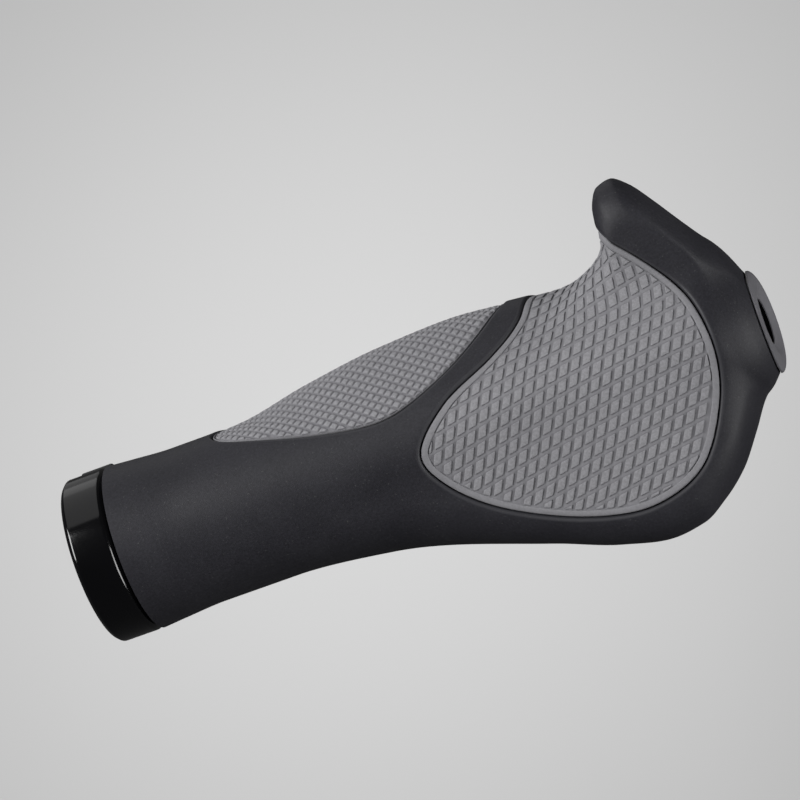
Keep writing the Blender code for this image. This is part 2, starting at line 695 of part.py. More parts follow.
def make_ring(metal, lug_place):
    """The clamp ring with a slit lug for its bolt."""
    profile = [
        (0, RING_BORE_RADIUS), (0, RING_RADIUS - RING_CHAMFER), (RING_CHAMFER, RING_RADIUS),
        (RING_WIDTH - RING_CHAMFER, RING_RADIUS), (RING_WIDTH, RING_RADIUS - RING_CHAMFER),
        (RING_WIDTH, RING_BORE_RADIUS),
    ]
    ring = make_object("clamp_ring", turned_mesh("clamp_ring", profile, ROUND_SEGMENTS), metal)
    middle = RING_WIDTH / 2
    lug = box_cutter(
        "lug_block", (middle - LUG_WIDTH / 2, RING_BORE_RADIUS + LUG_WALL, -LUG_HEIGHT / 2),
        (middle + LUG_WIDTH / 2, LUG_TOP, LUG_HEIGHT / 2),
    )
    slit = box_cutter(
        "slit_cutter", (-FIT, RING_BORE_RADIUS - FIT * 2, -SLIT_WIDTH / 2),
        (RING_WIDTH + FIT, LUG_TOP + FIT, SLIT_WIDTH / 2),
    )
    past = LUG_HEIGHT
    shank = rod_cutter("shank_cutter", BOLT_DIAMETER / 2 + FIT, -past, past, SMALL_ROUND_SEGMENTS)
    seat = rod_cutter("seat_cutter", SEAT_RADIUS, -past, -BOLT_SEAT, SMALL_ROUND_SEGMENTS)
    boolean(ring, lug, "UNION")
    for cutter in (slit, shank, seat):
        boolean(ring, cutter, "DIFFERENCE")
    for cutter in (lug, slit, shank, seat):
        cutter.parent = lug_place
    return ring


def make_bolt(steel, lug_place):
    """The clamp bolt, head down, with a hexagon socket."""
    head_top = -BOLT_SEAT - FIT
    head_end = head_top - BOLT_HEAD_LENGTH
    head = BOLT_HEAD_DIAMETER / 2
    shank = BOLT_DIAMETER / 2
    tip = head_top + BOLT_LENGTH
    profile = [
        (head_end, head - BOLT_CHAMFER), (head_end + BOLT_CHAMFER, head), (head_top, head),
        (head_top, shank), (tip - BOLT_CHAMFER, shank), (tip, shank - BOLT_CHAMFER),
    ]
    points, faces = [], []
    for height, radius in profile:
        for k in range(SMALL_ROUND_SEGMENTS):
            turn = 2 * math.pi * k / SMALL_ROUND_SEGMENTS
            points.append((radius * math.cos(turn), radius * math.sin(turn), height))
    for i in range(len(profile) - 1):
        here, there = i * SMALL_ROUND_SEGMENTS, (i + 1) * SMALL_ROUND_SEGMENTS
        for k in range(SMALL_ROUND_SEGMENTS):
            j = (k + 1) % SMALL_ROUND_SEGMENTS
            faces.append((here + k, here + j, there + j, there + k))
    last = (len(profile) - 1) * SMALL_ROUND_SEGMENTS
    faces.append(tuple(range(SMALL_ROUND_SEGMENTS)))
    faces.append(tuple(last + k for k in range(SMALL_ROUND_SEGMENTS)))
    bolt = make_object("clamp_bolt", mesh_from("clamp_bolt", points, faces, 30), steel)
    bolt.location = (RING_WIDTH / 2 * MM, BOLT_CENTRE * MM, 0)
    bolt.parent = lug_place
    socket_radius = BOLT_SOCKET_ACROSS_FLATS / 2 / math.cos(math.radians(30))
    socket = rod_cutter("socket_cutter", socket_radius, head_end - FIT, head_end + BOLT_SOCKET_DEPTH, 6)
    socket.parent = lug_place
    boolean(bolt, socket, "DIFFERENCE")
    return bolt


def main():
    for item in list(bpy.data.objects):
        bpy.data.objects.remove(item)
    black_rubber = material("black_rubber", (0.018, 0.018, 0.020), 0.5)
    grey_rubber = material("grey_rubber", (0.24, 0.24, 0.25), 0.65)
    black_plastic = material("black_plastic", (0.05, 0.05, 0.055), 0.4)
    black_gloss = material("black_gloss", (0.008, 0.008, 0.009), 0.12)
    dark_steel = material("dark_steel", (0.10, 0.10, 0.11), 0.3, 1.0)

    sheet = Sheet()
    palm = closed_curve(np.array(PALM_OUTLINE) + (PALM_MIDDLE, 0), OUTLINE_STEPS)
    finger = closed_curve(np.array(FINGER_OUTLINE) + (FINGER_MIDDLE, 0), OUTLINE_STEPS)
    palm_cells = lattice_cells(
        palm, np.array([PALM_MIDDLE, 0.0]), np.array(PALM_LATTICE_MIDDLE), (PALM_CROSS_PITCH, PALM_LONG_PITCH),
        (PALM_CROSS_ANGLE, PALM_LONG_ANGLE), (PALM_CROSS_BEND_RADIUS, PALM_LONG_BEND_RADIUS),
    )
    finger_cells = lattice_cells(
        finger, np.array([FINGER_MIDDLE, 0.0]), np.array(FINGER_LATTICE_MIDDLE),
        (FINGER_CROSS_PITCH, FINGER_DOWN_PITCH), (FINGER_CROSS_ANGLE, FINGER_DOWN_ANGLE), (math.inf, math.inf),
    )
    make_sleeve(black_plastic)
    make_body(sheet, palm, finger, black_rubber)
    make_pad(
        "palm_pad", sheet, palm, palm_cells, PALM_BAND_WIDTH, PALM_GROOVE_WIDTH, PALM_GROOVE_DEPTH, grey_rubber,
    )
    make_pad(
        "finger_pad", sheet, finger, finger_cells, FINGER_BAND_WIDTH, FINGER_GROOVE_WIDTH, FINGER_GROOVE_DEPTH,
        grey_rubber,
    )
    lug_place = bpy.data.objects.new("lug_place", None)
    bpy.context.scene.collection.objects.link(lug_place)
    lug_place.rotation_euler = (math.radians(LUG_ANGLE), 0, 0)
    make_ring(black_gloss, lug_place)
    make_bolt(dark_steel, lug_place)


main()
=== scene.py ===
# %% [markdown]
# # A right-hand grip for a bicycle handlebar
#
# The real grip is a hard sleeve with black rubber moulded round it. A wide wing carries the palm
# and a short horn gives the thumb a second hold. Two grey rubber pads with raised blocks are let
# into the black rubber, and a gloss black ring clamps the inner end to the bar.
#
# The CAD model gives every piece its place and its size. This script keeps those sizes and makes
# each piece again with the fine surface that a moulding has, because a coarse solid shows its flat
# faces in a close view.

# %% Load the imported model
import math

import bmesh
import bpy
import numpy as np
from mathutils import Matrix, Vector
from mathutils.geometry import delaunay_2d_cdt


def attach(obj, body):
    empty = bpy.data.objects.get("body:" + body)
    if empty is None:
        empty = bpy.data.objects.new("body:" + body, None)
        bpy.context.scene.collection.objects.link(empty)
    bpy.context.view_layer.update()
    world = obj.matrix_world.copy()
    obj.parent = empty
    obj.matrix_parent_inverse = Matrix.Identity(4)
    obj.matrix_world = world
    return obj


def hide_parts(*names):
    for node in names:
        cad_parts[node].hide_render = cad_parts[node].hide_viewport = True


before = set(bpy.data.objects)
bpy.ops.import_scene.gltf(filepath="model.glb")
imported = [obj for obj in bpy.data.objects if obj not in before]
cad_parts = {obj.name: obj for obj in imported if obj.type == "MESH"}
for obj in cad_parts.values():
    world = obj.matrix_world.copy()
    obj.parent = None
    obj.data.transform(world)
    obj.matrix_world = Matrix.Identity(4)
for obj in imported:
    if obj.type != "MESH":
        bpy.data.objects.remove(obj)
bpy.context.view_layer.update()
MM = 0.001
print("nodes:", sorted(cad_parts))

# %% [markdown]
# ## The camera
#
# A long lens far away keeps the perspective mild. The three angles say how the bar lies in the
# picture: how far its outer end comes towards the camera, how steeply it climbs across the frame,
# and how far the top of the grip is rolled round the bar. From them come the three axes of the
# object as the camera sees them, and turning that table round gives the camera's own axes.

# %% Camera
BAR_TOWARDS = math.radians(9.0)
BAR_CLIMB = math.radians(19.82)
BAR_ROLL = math.radians(20.0)
bar_seen = Vector((
    math.cos(BAR_TOWARDS) * math.cos(BAR_CLIMB),
    math.cos(BAR_TOWARDS) * math.sin(BAR_CLIMB),
    math.sin(BAR_TOWARDS),
))
facing = Vector((0, 0, 1)) - bar_seen * bar_seen.z
facing.normalize()
beside = facing.cross(bar_seen)
forward_seen = beside * math.cos(BAR_ROLL) - facing * math.sin(BAR_ROLL)
top_seen = facing * math.cos(BAR_ROLL) + beside * math.sin(BAR_ROLL)
object_seen = Matrix((bar_seen, forward_seen, top_seen)).transposed()

CAMERA_DISTANCE = 0.700
LENS = 166.4
SENSOR_WIDTH = 36.0
BAR_MIDDLE = Vector((0.07235, 0, 0))
MIDDLE_OFF_CENTRE = Vector((0.00841, -0.00689, 0))
camera = bpy.data.objects.new("camera", bpy.data.cameras.new("camera"))
bpy.context.scene.collection.objects.link(camera)
camera.data.sensor_width = SENSOR_WIDTH
camera.data.lens = LENS
to_world = object_seen.transposed()
place = BAR_MIDDLE + to_world @ (Vector((0, 0, CAMERA_DISTANCE)) - MIDDLE_OFF_CENTRE)
camera.matrix_world = Matrix.Translation(place) @ to_world.to_4x4()
bpy.context.scene.camera = camera
print("camera at", [round(c, 4) for c in place])

# %% [markdown]
# ## The sizes along the bar
#
# x runs along the bar from the ring's inner face. The sizes are those of the CAD model, in
# millimetres. A moulding's outline changes slowly, so each width of the rubber is a curve through a
# few stations along the bar. The curve keeps between its stations and never bulges past them,
# which a plain spline would do next to the steep side of the horn.

# %% Sizes and stations
BORE_RADIUS = 11.2
SLEEVE_RADIUS = 12.6
FIT = 0.3
TUBE_RADIUS = 15.5
END_RADIUS = 10.0
INNER_END = 8.9
OUTER_END = 136.0
END_DROP = END_RADIUS - TUBE_RADIUS
HORN_FILLET = 5.0
HORN_LEAN = 0.35
HORN_START = OUTER_END - 40.0
HORN_PEAK = OUTER_END - 11.5
INNER_FLARE = 0.9


def stations(from_inner_end, from_outer_end):
    """Places along the bar, from the rubber's inner end and back from its outer end."""
    inner = [(INNER_END + distance, value) for distance, value in from_inner_end]
    outer = [(OUTER_END - distance, value) for distance, value in from_outer_end]
    return inner + outer


TUBE_EXTRA = stations(
    [(0, INNER_FLARE), (5, 0.5), (13, 0)],
    [(16, 0), (9, -0.4), (5, -1.8), (2, -3.5), (0, END_DROP)],
)
SWELL_EXTRA = stations(
    [(0, INNER_FLARE), (13, 0)],
    [(100.1, 0.65), (86.1, 3.3), (70.1, 5.4), (56.1, 6.0), (44, 5.0), (34, 4.1), (24, 3.8),
     (16, 2.7), (8, 0.1), (2, -3.2), (0, END_DROP)],
)
WING_EXTRA = stations(
    [(0, INNER_FLARE), (13, 0)],
    [(100.1, 0), (80.1, 2.0), (50.1, 11.0), (38, 15.5), (28, 17.6), (22, 16.7), (17, 13.8),
     (12, 9.5), (7.5, 3.4), (4, -1.8), (0, END_DROP)],
)
HORN_EXTRA = stations(
    [],
    [(40, -4.5), (32, 1.5), (28, 4.1), (23.5, 6.7), (21.3, 8.3), (19, 12.0), (16.5, 16.5),
     (13.5, 19.2), (10.4, 19.8), (8, 17.5), (6.4, 13.6), (4.7, 8.8), (2.8, 4.2), (1.2, 1.4),
     (0.4, -1.6), (0, END_DROP - HORN_FILLET)],
)
WING_TIP_RADIUS = stations(
    [(0, 16.4), (13, 15.5)],
    [(80.1, 13.0), (50.1, 9.0), (28, 7.5), (12, 8.5), (4, 10.0), (0, END_RADIUS)],
)
HORN_TIP_RADIUS = stations([], [(40, 7.5), (19, 7.4), (12, 8.3), (0, 9.0)])
HORN_ROOT = stations([], [(40, 9.5), (8, 9.5), (0, END_RADIUS - HORN_FILLET)])


def along(profile, u):
    """Value of a profile at places u, as a smooth curve that never overshoots its stations."""
    table = np.array(profile, float)
    at, value = table[:, 0], table[:, 1]
    step = np.diff(at)
    rise = np.diff(value) / step
    slope = np.zeros(len(at))
    slope[0], slope[-1] = rise[0], rise[-1]
    for i in range(1, len(at) - 1):
        if rise[i - 1] * rise[i] > 0:
            before = step[i] * 2 + step[i - 1]
            after = step[i] + step[i - 1] * 2
            slope[i] = (before + after) / (before / rise[i - 1] + after / rise[i])
    u = np.clip(u, at[0], at[-1])
    i = np.clip(np.searchsorted(at, u, side="right") - 1, 0, len(step) - 1)
    t = (u - at[i]) / step[i]
    start = (1 + 2 * t) * (1 - t) ** 2 * value[i] + t * (1 - t) ** 2 * step[i] * slope[i]
    end = t * t * (3 - 2 * t) * value[i + 1] + t * t * (t - 1) * step[i] * slope[i + 1]
    return start + end


widest_wing = TUBE_RADIUS + max(value for _, value in WING_EXTRA)
print("wing reach at its widest in mm:", round(widest_wing, 1))

# %% [markdown]
# ## One section of the rubber
#
# A section square to the bar is a circle with three lobes: the palm wing to the rear, a low swell
# under the fingers and the horn. Each lobe is the outline of a string pulled tight round the bar's
# circle and a smaller circle further out. That shape is what a hand-carved master has, and its
# polar radius has a formula, so the whole skin is one function of the place along the bar and the
# angle round it. The horn is joined to the rest with a fillet instead of a crease, and it leans
# inwards because its points slide along the bar as they rise.

# %% The skin as a function
WING_ANGLE = 184.0
SWELL_ANGLE = 5.0
SWELL_TIP_SHARE = 0.62
HORN_ANGLE = 30.0


def hull_radius(turn, base, tip, reach):
    """Polar radius of the hull of a circle round the bar and a tip circle that ends at the reach."""
    tip = np.minimum(tip, base)
    reach = np.maximum(reach, base)
    centre = np.maximum(reach - tip, 1e-6)
    turn = np.abs(turn)
    tangent = np.arccos(np.clip((base - tip) / centre, -1, 1))
    tip_ends = np.arctan2(tip * np.sin(tangent), centre + tip * np.cos(tangent))
    cap = centre * np.cos(turn) + np.sqrt(np.maximum(tip ** 2 - (centre * np.sin(turn)) ** 2, 0))
    flat = base / np.maximum(np.cos(tangent - turn), 1e-3)
    return np.where(turn < tip_ends, cap, np.where(turn < tangent, flat, base))


def turn_from(angle, direction):
    """Angle from a direction, in radians, for angles in degrees."""
    return np.radians((angle - direction + 180) % 360 - 180)


def skin(u, angle):
    """Points of the rubber's skin at places u and angles round the bar, in degrees."""
    u, angle = np.broadcast_arrays(np.asarray(u, float), np.asarray(angle, float))
    tube = TUBE_RADIUS + along(TUBE_EXTRA, u)
    wing_reach = TUBE_RADIUS + along(WING_EXTRA, u)
    wing = hull_radius(turn_from(angle, WING_ANGLE), tube, along(WING_TIP_RADIUS, u), wing_reach)
    swell_reach = TUBE_RADIUS + along(SWELL_EXTRA, u)
    swell = hull_radius(turn_from(angle, SWELL_ANGLE), tube, SWELL_TIP_SHARE * tube, swell_reach)
    plain = wing + swell - tube
    horn_reach = TUBE_RADIUS + along(HORN_EXTRA, u)
    horn_tip = along(HORN_TIP_RADIUS, u)
    horn = hull_radius(turn_from(angle, HORN_ANGLE), along(HORN_ROOT, u), horn_tip, horn_reach)
    blend = np.maximum(HORN_FILLET - np.abs(plain - horn), 0) / HORN_FILLET
    joined = np.maximum(plain, horn) + blend ** 2 * HORN_FILLET / 4
    radius = np.where(u > HORN_START, joined, plain)
    leaning = u - HORN_LEAN * (radius - plain)
    turned = np.radians(angle)
    return np.stack([leaning, radius * np.cos(turned), radius * np.sin(turned)], axis=-1)


print("horn tip in mm:", skin(HORN_PEAK, HORN_ANGLE).round(1))

# %% [markdown]
# ## Unrolling the skin
#
# The pads are easier to draw on a flat sheet than on a curved grip. The sheet's u runs along the
# bar, and v is the length round the section from the top line, positive to the rear. A table of
# arc lengths turns a place on the sheet back into an angle. A depth under the skin is measured
# square to it, so the same drawing gives the pocket's floor, the pad's back and the groove's
# bottom.

# %% The unrolled sheet
BOTTOM_ANGLE = -90.0
TOP_ANGLE = 90.0
TABLE_SECTIONS = 301
TABLE_ANGLES = 721
table_u = np.linspace(INNER_END, OUTER_END, TABLE_SECTIONS)
table_angle = np.linspace(BOTTOM_ANGLE, BOTTOM_ANGLE + 360, TABLE_ANGLES)
table_points = skin(table_u[:, None], table_angle[None, :])
table_steps = np.linalg.norm(np.diff(table_points, axis=1), axis=-1)
table_length = np.concatenate([np.zeros((TABLE_SECTIONS, 1)), np.cumsum(table_steps, axis=1)], axis=1)
top_column = int(np.argmin(np.abs(table_angle - TOP_ANGLE)))
table_v = table_length - table_length[:, top_column:top_column + 1]
front_half, rear_half = -table_v[:, 0], table_v[:, -1]
table_share = np.where(table_v < 0, table_v / front_half[:, None], table_v / rear_half[:, None])


def half_lengths(u):
    """Distances from the top line to the bottom line, round the front and round the rear."""
    return np.interp(u, table_u, front_half), np.interp(u, table_u, rear_half)


def angles_at(u, v):
    """Angles round the bar of places on the sheet, between the two nearest sections of the table."""
    front, rear = half_lengths(u)
    share = np.clip(v / np.where(v < 0, front, rear), -1, 1)
    along_bar = (np.clip(u, INNER_END, OUTER_END) - INNER_END) / (OUTER_END - INNER_END)
    place = along_bar * (TABLE_SECTIONS - 1)
    row = np.minimum(place.astype(int), TABLE_SECTIONS - 2)
    found = np.empty(len(u))
    for i, (part, along_row) in enumerate(zip(share, place - row)):
        here = np.interp(part, table_share[row[i]], table_angle)
        beyond = np.interp(part, table_share[row[i] + 1], table_angle)
        found[i] = here * (1 - along_row) + beyond * along_row
    return found


def sheet_points(u, v, depth):
    """Points at a depth under the skin, measured square to it."""
    u, v = np.asarray(u, float), np.asarray(v, float)
    angle = angles_at(u, v)
    nearby = 0.05
    before = np.clip(u - nearby, INNER_END, OUTER_END)
    after = np.clip(u + nearby, INNER_END, OUTER_END)
    lengthwise = skin(after, angle) - skin(before, angle)
    across = skin(u, angle + nearby) - skin(u, angle - nearby)
    normal = np.cross(across, lengthwise)
    normal /= np.linalg.norm(normal, axis=1, keepdims=True)
    return skin(u, angle) - normal * np.reshape(depth, (-1, 1))


longest_round = float((front_half + rear_half).max())
print("length round the widest section in mm:", round(longest_round, 1))

# %% [markdown]
# ## The outlines of the pads
#
# Each pad is drawn on the sheet as a smooth closed curve through a few points. Moving that curve
# inwards or outwards gives the rounded lip of the pocket, the gap, the pad's own edge and the
# smooth band inside it, so they all keep the same distance all the way round.

# %% Outlines
PALM_MIDDLE = OUTER_END - 36.0
PALM_OUTLINE = [
    (-31.0, 7.0), (-24.0, -0.8), (-13.5, -7.2), (-6.5, -14.5), (-3.2, -24.0), (2.0, -32.0),
    (10.0, -33.2), (15.8, -28.5), (18.4, -21.2), (22.2, -13.8), (26.2, -3.5), (27.3, 7.0),
    (24.6, 17.2), (17.5, 27.0), (6.0, 30.6), (-7.0, 28.2), (-19.7, 22.1), (-28.2, 14.6),
]
FINGER_MIDDLE = PALM_MIDDLE - 39.1
FINGER_OUTLINE = [
    (-30.3, -17.5), (-28.4, -11.6), (-19.2, -6.9), (-7.9, -3.2), (3.1, -1.6), (12.1, -4.3),
    (21.1, -10.4), (28.7, -18.6), (30.4, -24.5), (25.0, -31.0), (13.0, -35.8), (-1.0, -36.5),
    (-16.0, -32.5), (-27.0, -24.5),
]
OUTLINE_STEPS = 16


def closed_curve(corners):
    """Smooth closed curve through the corners, as a loop of flat points."""
    corners = np.array(corners, float)
    loop = []
    for i in range(len(corners)):
        before, start, end, after = (corners[(i + k) % len(corners)] for k in (-1, 0, 1, 2))
        for t in np.arange(OUTLINE_STEPS) / OUTLINE_STEPS:
            bend = (2 * before - 5 * start + 4 * end - after) * t ** 2
            turn = (3 * start - before - 3 * end + after) * t ** 3
            loop.append((2 * start + (end - before) * t + bend + turn) / 2)
    return np.array(loop)


def inset_loop(loop, distance):
    """The loop moved inwards by a distance, or outwards by a negative one."""
    ahead, behind = np.roll(loop, -1, axis=0), np.roll(loop, 1, axis=0)
    direction = ahead - behind
    direction /= np.linalg.norm(direction, axis=1, keepdims=True)
    area = np.sum(loop[:, 0] * ahead[:, 1] - ahead[:, 0] * loop[:, 1])
    inwards = np.stack([-direction[:, 1], direction[:, 0]], axis=1) * np.sign(area)
    return loop + inwards * distance


palm_outline = closed_curve(np.array(PALM_OUTLINE) + (PALM_MIDDLE, 0))
finger_outline = closed_curve(np.array(FINGER_OUTLINE) + (FINGER_MIDDLE, 0))
print("points in the outlines:", len(palm_outline), len(finger_outline))

# %% Questions about outlines
def inside(loop, points):
    """True for each flat point that lies inside the loop."""
    points = np.atleast_2d(points)
    start, end = loop, np.roll(loop, -1, axis=0)
    x, y = points[:, 0:1], points[:, 1:2]
    spans = (start[:, 1] > y) != (end[:, 1] > y)
    rise = np.where(end[:, 1] == start[:, 1], 1.0, end[:, 1] - start[:, 1])
    crossing = start[:, 0] + (y - start[:, 1]) * (end[:, 0] - start[:, 0]) / rise
    return np.sum(spans & (x < crossing), axis=1) % 2 == 1


def distance_to(loop, points):
    """Distance from each flat point to the loop's nearest corner, for a loop with close corners."""
    points = np.atleast_2d(points)
    batches = np.array_split(points, max(1, len(points) // 2000))
    return np.concatenate([
        np.min(np.linalg.norm(batch[:, None, :] - loop[None, :, :], axis=2), axis=1)
        for batch in batches
    ])


def clip_to_cell(loop, cell):
    """The part of the loop that lies in a cell with no hollow corner."""
    area = sum(a[0] * b[1] - b[0] * a[1] for a, b in zip(cell, np.roll(cell, -1, axis=0)))
    kept = list(loop)
    for start, end in zip(cell, np.roll(cell, -1, axis=0)):
        side = (end - start) * np.sign(area)
        heights = [side[0] * (p[1] - start[1]) - side[1] * (p[0] - start[0]) for p in kept]
        clipped = []
        for i in range(len(kept)):
            j = (i + 1) % len(kept)
            if heights[i] >= 0:
                clipped.append(kept[i])
            if (heights[i] >= 0) != (heights[j] >= 0):
                share = heights[i] / (heights[i] - heights[j])
                clipped.append(kept[i] + (kept[j] - kept[i]) * share)
        kept = clipped
        if len(kept) < 3:
            return []
    return np.array(kept)


print("bar's middle inside the palm pad:", bool(inside(palm_outline, (PALM_MIDDLE, 0))[0]))

# %% [markdown]
# ## From a drawing to a mesh
#
# A drawing is a set of loops and loose points, each with its own depth. Blender's constrained
# triangulation joins them into triangles in one go and keeps every loop as edges. That handles
# pads with hundreds of blocks cut off by a curved edge, which a grid of quads can't follow. Each
# corner also keeps a small number that says what it is, such as the top of a block, and the
# materials read it later to paint shade into the grooves, along with some dust, and highlights
# along lips and edges.

# %% Drawings
SAME_POINT = 1e-4


class Drawing:
    """Flat loops and points with a depth and a tag each."""

    def __init__(self):
        self.points, self.depths, self.tags, self.edges = [], [], [], []

    def add_points(self, points, depth, tag):
        """Loose points. The depth and the tag are one value each, or one for each point."""
        self.points += [tuple(point) for point in points]
        self.depths += list(np.broadcast_to(depth, len(points)))
        self.tags += list(np.broadcast_to(tag, len(points)))

    def add_loop(self, loop, depth, tag):
        """A closed loop of points, kept as edges."""
        first = len(self.points)
        self.add_points(loop, depth, tag)
        self.edges += [(first + i, first + (i + 1) % len(loop)) for i in range(len(loop))]

    def triangles(self, only_inside, new_depth=0.0):
        """Flat points, depths, tags and triangles. A crossing of two loops takes the new depth."""
        vectors = [Vector(point) for point in self.points]
        kind = 1 if only_inside else 0
        points, _, faces, origins, _, _ = delaunay_2d_cdt(vectors, self.edges, [], kind, SAME_POINT)
        flat = np.array([tuple(point) for point in points])
        depths = [self.depths[origin[0]] if origin else new_depth for origin in origins]
        tags = [self.tags[origin[0]] if origin else 0.0 for origin in origins]
        return flat, np.array(depths), np.array(tags), [tuple(face) for face in faces]


square = Drawing()
square.add_loop([(0, 0), (1, 0), (1, 1), (0, 1)], 0.0, 0.0)
print("triangles in a square:", len(square.triangles(only_inside=True)[3]))

# %% Meshes and pieces
MERGE_DISTANCE = 0.0005 * MM


def finished_mesh(name, points, faces, tags=None, sharp_degrees=None):
    """A closed smooth mesh from points in millimetres, with an optional tag at each corner."""
    shape = bmesh.new()
    # The tag of each corner: the rubbers paint shade and highlights from it, and some dust in the
    # grooves
    tag_layer = shape.verts.layers.float.new("painted_light_and_dust")
    corners = []
    for i, point in enumerate(points):
        corner = shape.verts.new(Vector(point) * MM)
        corner[tag_layer] = float(tags[i]) if tags is not None else 0.0
        corners.append(corner)
    for face in faces:
        if len(set(face)) == len(face):
            shape.faces.new([corners[i] for i in face])
    bmesh.ops.remove_doubles(shape, verts=shape.verts[:], dist=MERGE_DISTANCE)
    bmesh.ops.dissolve_degenerate(shape, edges=shape.edges[:], dist=MERGE_DISTANCE)
    bmesh.ops.delete(shape, geom=[v for v in shape.verts if not v.link_faces], context="VERTS")
    bmesh.ops.recalc_face_normals(shape, faces=shape.faces[:])
    open_edges = sum(1 for edge in shape.edges if len(edge.link_faces) != 2)
    mesh = bpy.data.meshes.new(name)
    shape.to_mesh(mesh)
    shape.free()
    mesh.shade_smooth()
    if sharp_degrees:
        mesh.set_sharp_from_angle(angle=math.radians(sharp_degrees))
    print(f"{name}: {len(mesh.polygons)} faces, {open_edges} open edges")
    return mesh


def new_piece(name, mesh, replaced):
    """An object for a mesh, riding on the grip in place of a CAD node."""
    piece = bpy.data.objects.new(name, mesh)
    bpy.context.scene.collection.objects.link(piece)
    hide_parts(replaced)
    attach(piece, "root")
    return piece


# %% [markdown]
# ## The moulded body
#
# The sections are closest together at the horn, where the skin is steepest. Round each pocket the
# skin turns over a small lip before it drops to the pocket's floor. That lip shows as a thin light
# line along the black strip between the pads, so it gets five loops of its own. The line is partly
# the lip's own shape catching the light and partly a painted highlight, because its sloping loops
# are tagged and the black rubber paints them lighter.

# %% The body's drawing
POCKET_FLOOR = 1.75
POCKET_DRAFT = 0.15
ROUND_STEPS = 192
EVEN_HALF = 50.0
LIP = [(-0.70, 0.0), (-0.42, 0.03), (-0.22, 0.10), (-0.08, 0.22), (0.0, 0.42)]
LIP_MIDDLE = -0.3
CLEAR_OF_LIP = 0.85
EDGE_SECTIONS = INNER_END + 1.0
HORN_SECTIONS = OUTER_END - 30.0
END_SECTIONS = OUTER_END - 2.0

body_u = np.concatenate([
    np.arange(INNER_END, EDGE_SECTIONS, 0.25),
    np.arange(EDGE_SECTIONS, HORN_SECTIONS, 1.0),
    np.arange(HORN_SECTIONS, END_SECTIONS, 0.45),
    OUTER_END - np.array([2.0, 1.6, 1.2, 0.8, 0.5, 0.3, 0.15, 0.0]),
])
share = np.linspace(-1, 1, ROUND_STEPS + 1)
grid_u, grid_share = (a.ravel() for a in np.meshgrid(body_u, share, indexing="ij"))


def even_sheet(points):
    """Place on a sheet whose front and rear halves are all the same length."""
    front, rear = half_lengths(points[:, 0])
    half = np.where(points[:, 1] < 0, front, rear)
    return np.stack([points[:, 0], points[:, 1] / half * EVEN_HALF], axis=1)


front, rear = half_lengths(grid_u)
grid_v = np.where(grid_share < 0, grid_share * front, grid_share * rear)
grid_flat = np.stack([grid_u, grid_v], axis=1)
grid_even = np.stack([grid_u, grid_share * EVEN_HALF], axis=1)
free = np.ones(len(grid_flat), bool)
sunk = np.zeros(len(grid_flat), bool)
body_drawing = Drawing()
for outline in (palm_outline, finger_outline):
    free &= distance_to(inset_loop(outline, LIP_MIDDLE), grid_flat) > CLEAR_OF_LIP
    sunk |= inside(outline, grid_flat)
    for offset, depth in LIP:
        # The lip's sloping loops get tag 1, which the black rubber paints lighter: a painted highlight
        on_lip = 1.0 if depth > 0 else 0.0
        body_drawing.add_loop(even_sheet(inset_loop(outline, offset)), depth, on_lip)
    body_drawing.add_loop(even_sheet(inset_loop(outline, POCKET_DRAFT)), POCKET_FLOOR, 0.0)
body_drawing.add_points(grid_even[free & ~sunk], 0.0, 0.0)
body_drawing.add_points(grid_even[free & sunk], POCKET_FLOOR, 0.0)
print("points in the body's drawing:", len(body_drawing.points))

# %% The body's mesh
SHOULDER = OUTER_END - 9.0
SHOULDER_LENGTH = 2.6
NECK_RADIUS = 9.0
BODY_CREASE = 50
flat, depths, tags, faces = body_drawing.triangles(only_inside=False)
front, rear = half_lengths(flat[:, 0])
sheet_v = flat[:, 1] / EVEN_HALF * np.where(flat[:, 1] < 0, front, rear)
body_points = list(sheet_points(flat[:, 0], sheet_v, depths))
body_tags = list(tags)
body_bore = [
    (INNER_END, TUBE_RADIUS + INNER_FLARE),
    (INNER_END, SLEEVE_RADIUS + FIT),
    (SHOULDER + FIT, SLEEVE_RADIUS + FIT),
    (SHOULDER + FIT + SHOULDER_LENGTH, NECK_RADIUS + FIT),
    (OUTER_END, NECK_RADIUS + FIT),
    (OUTER_END, END_RADIUS),
]
first = len(body_points)
for x, radius in body_bore:
    for k in range(ROUND_STEPS):
        turn = math.radians(BOTTOM_ANGLE + 360 * k / ROUND_STEPS)
        body_points.append((x, radius * math.cos(turn), radius * math.sin(turn)))
        body_tags.append(0.0)
for i in range(len(body_bore) - 1):
    here, there = first + i * ROUND_STEPS, first + (i + 1) * ROUND_STEPS
    for k in range(ROUND_STEPS):
        j = (k + 1) % ROUND_STEPS
        faces.append((here + k, here + j, there + j, there + k))
body_mesh = finished_mesh("moulded_body", body_points, faces, body_tags, BODY_CREASE)
moulded_body = new_piece("moulded_body", body_mesh, "grip_body")

# %% [markdown]
# ## The pads
#
# Two families of grooves cross each other and leave a lattice of blocks. On the palm pad both
# families bend a little, the way the real grooves follow the hand. Each cell of the lattice becomes
# one block, drawn as five loops inside each other. The palm pad's blocks have flat tops with a
# small chamfer, and the finger pad's are softer pillows. Where the smooth band cuts through a
# cell, the loops are clipped by it, and a block that would be too small to mould is left out.

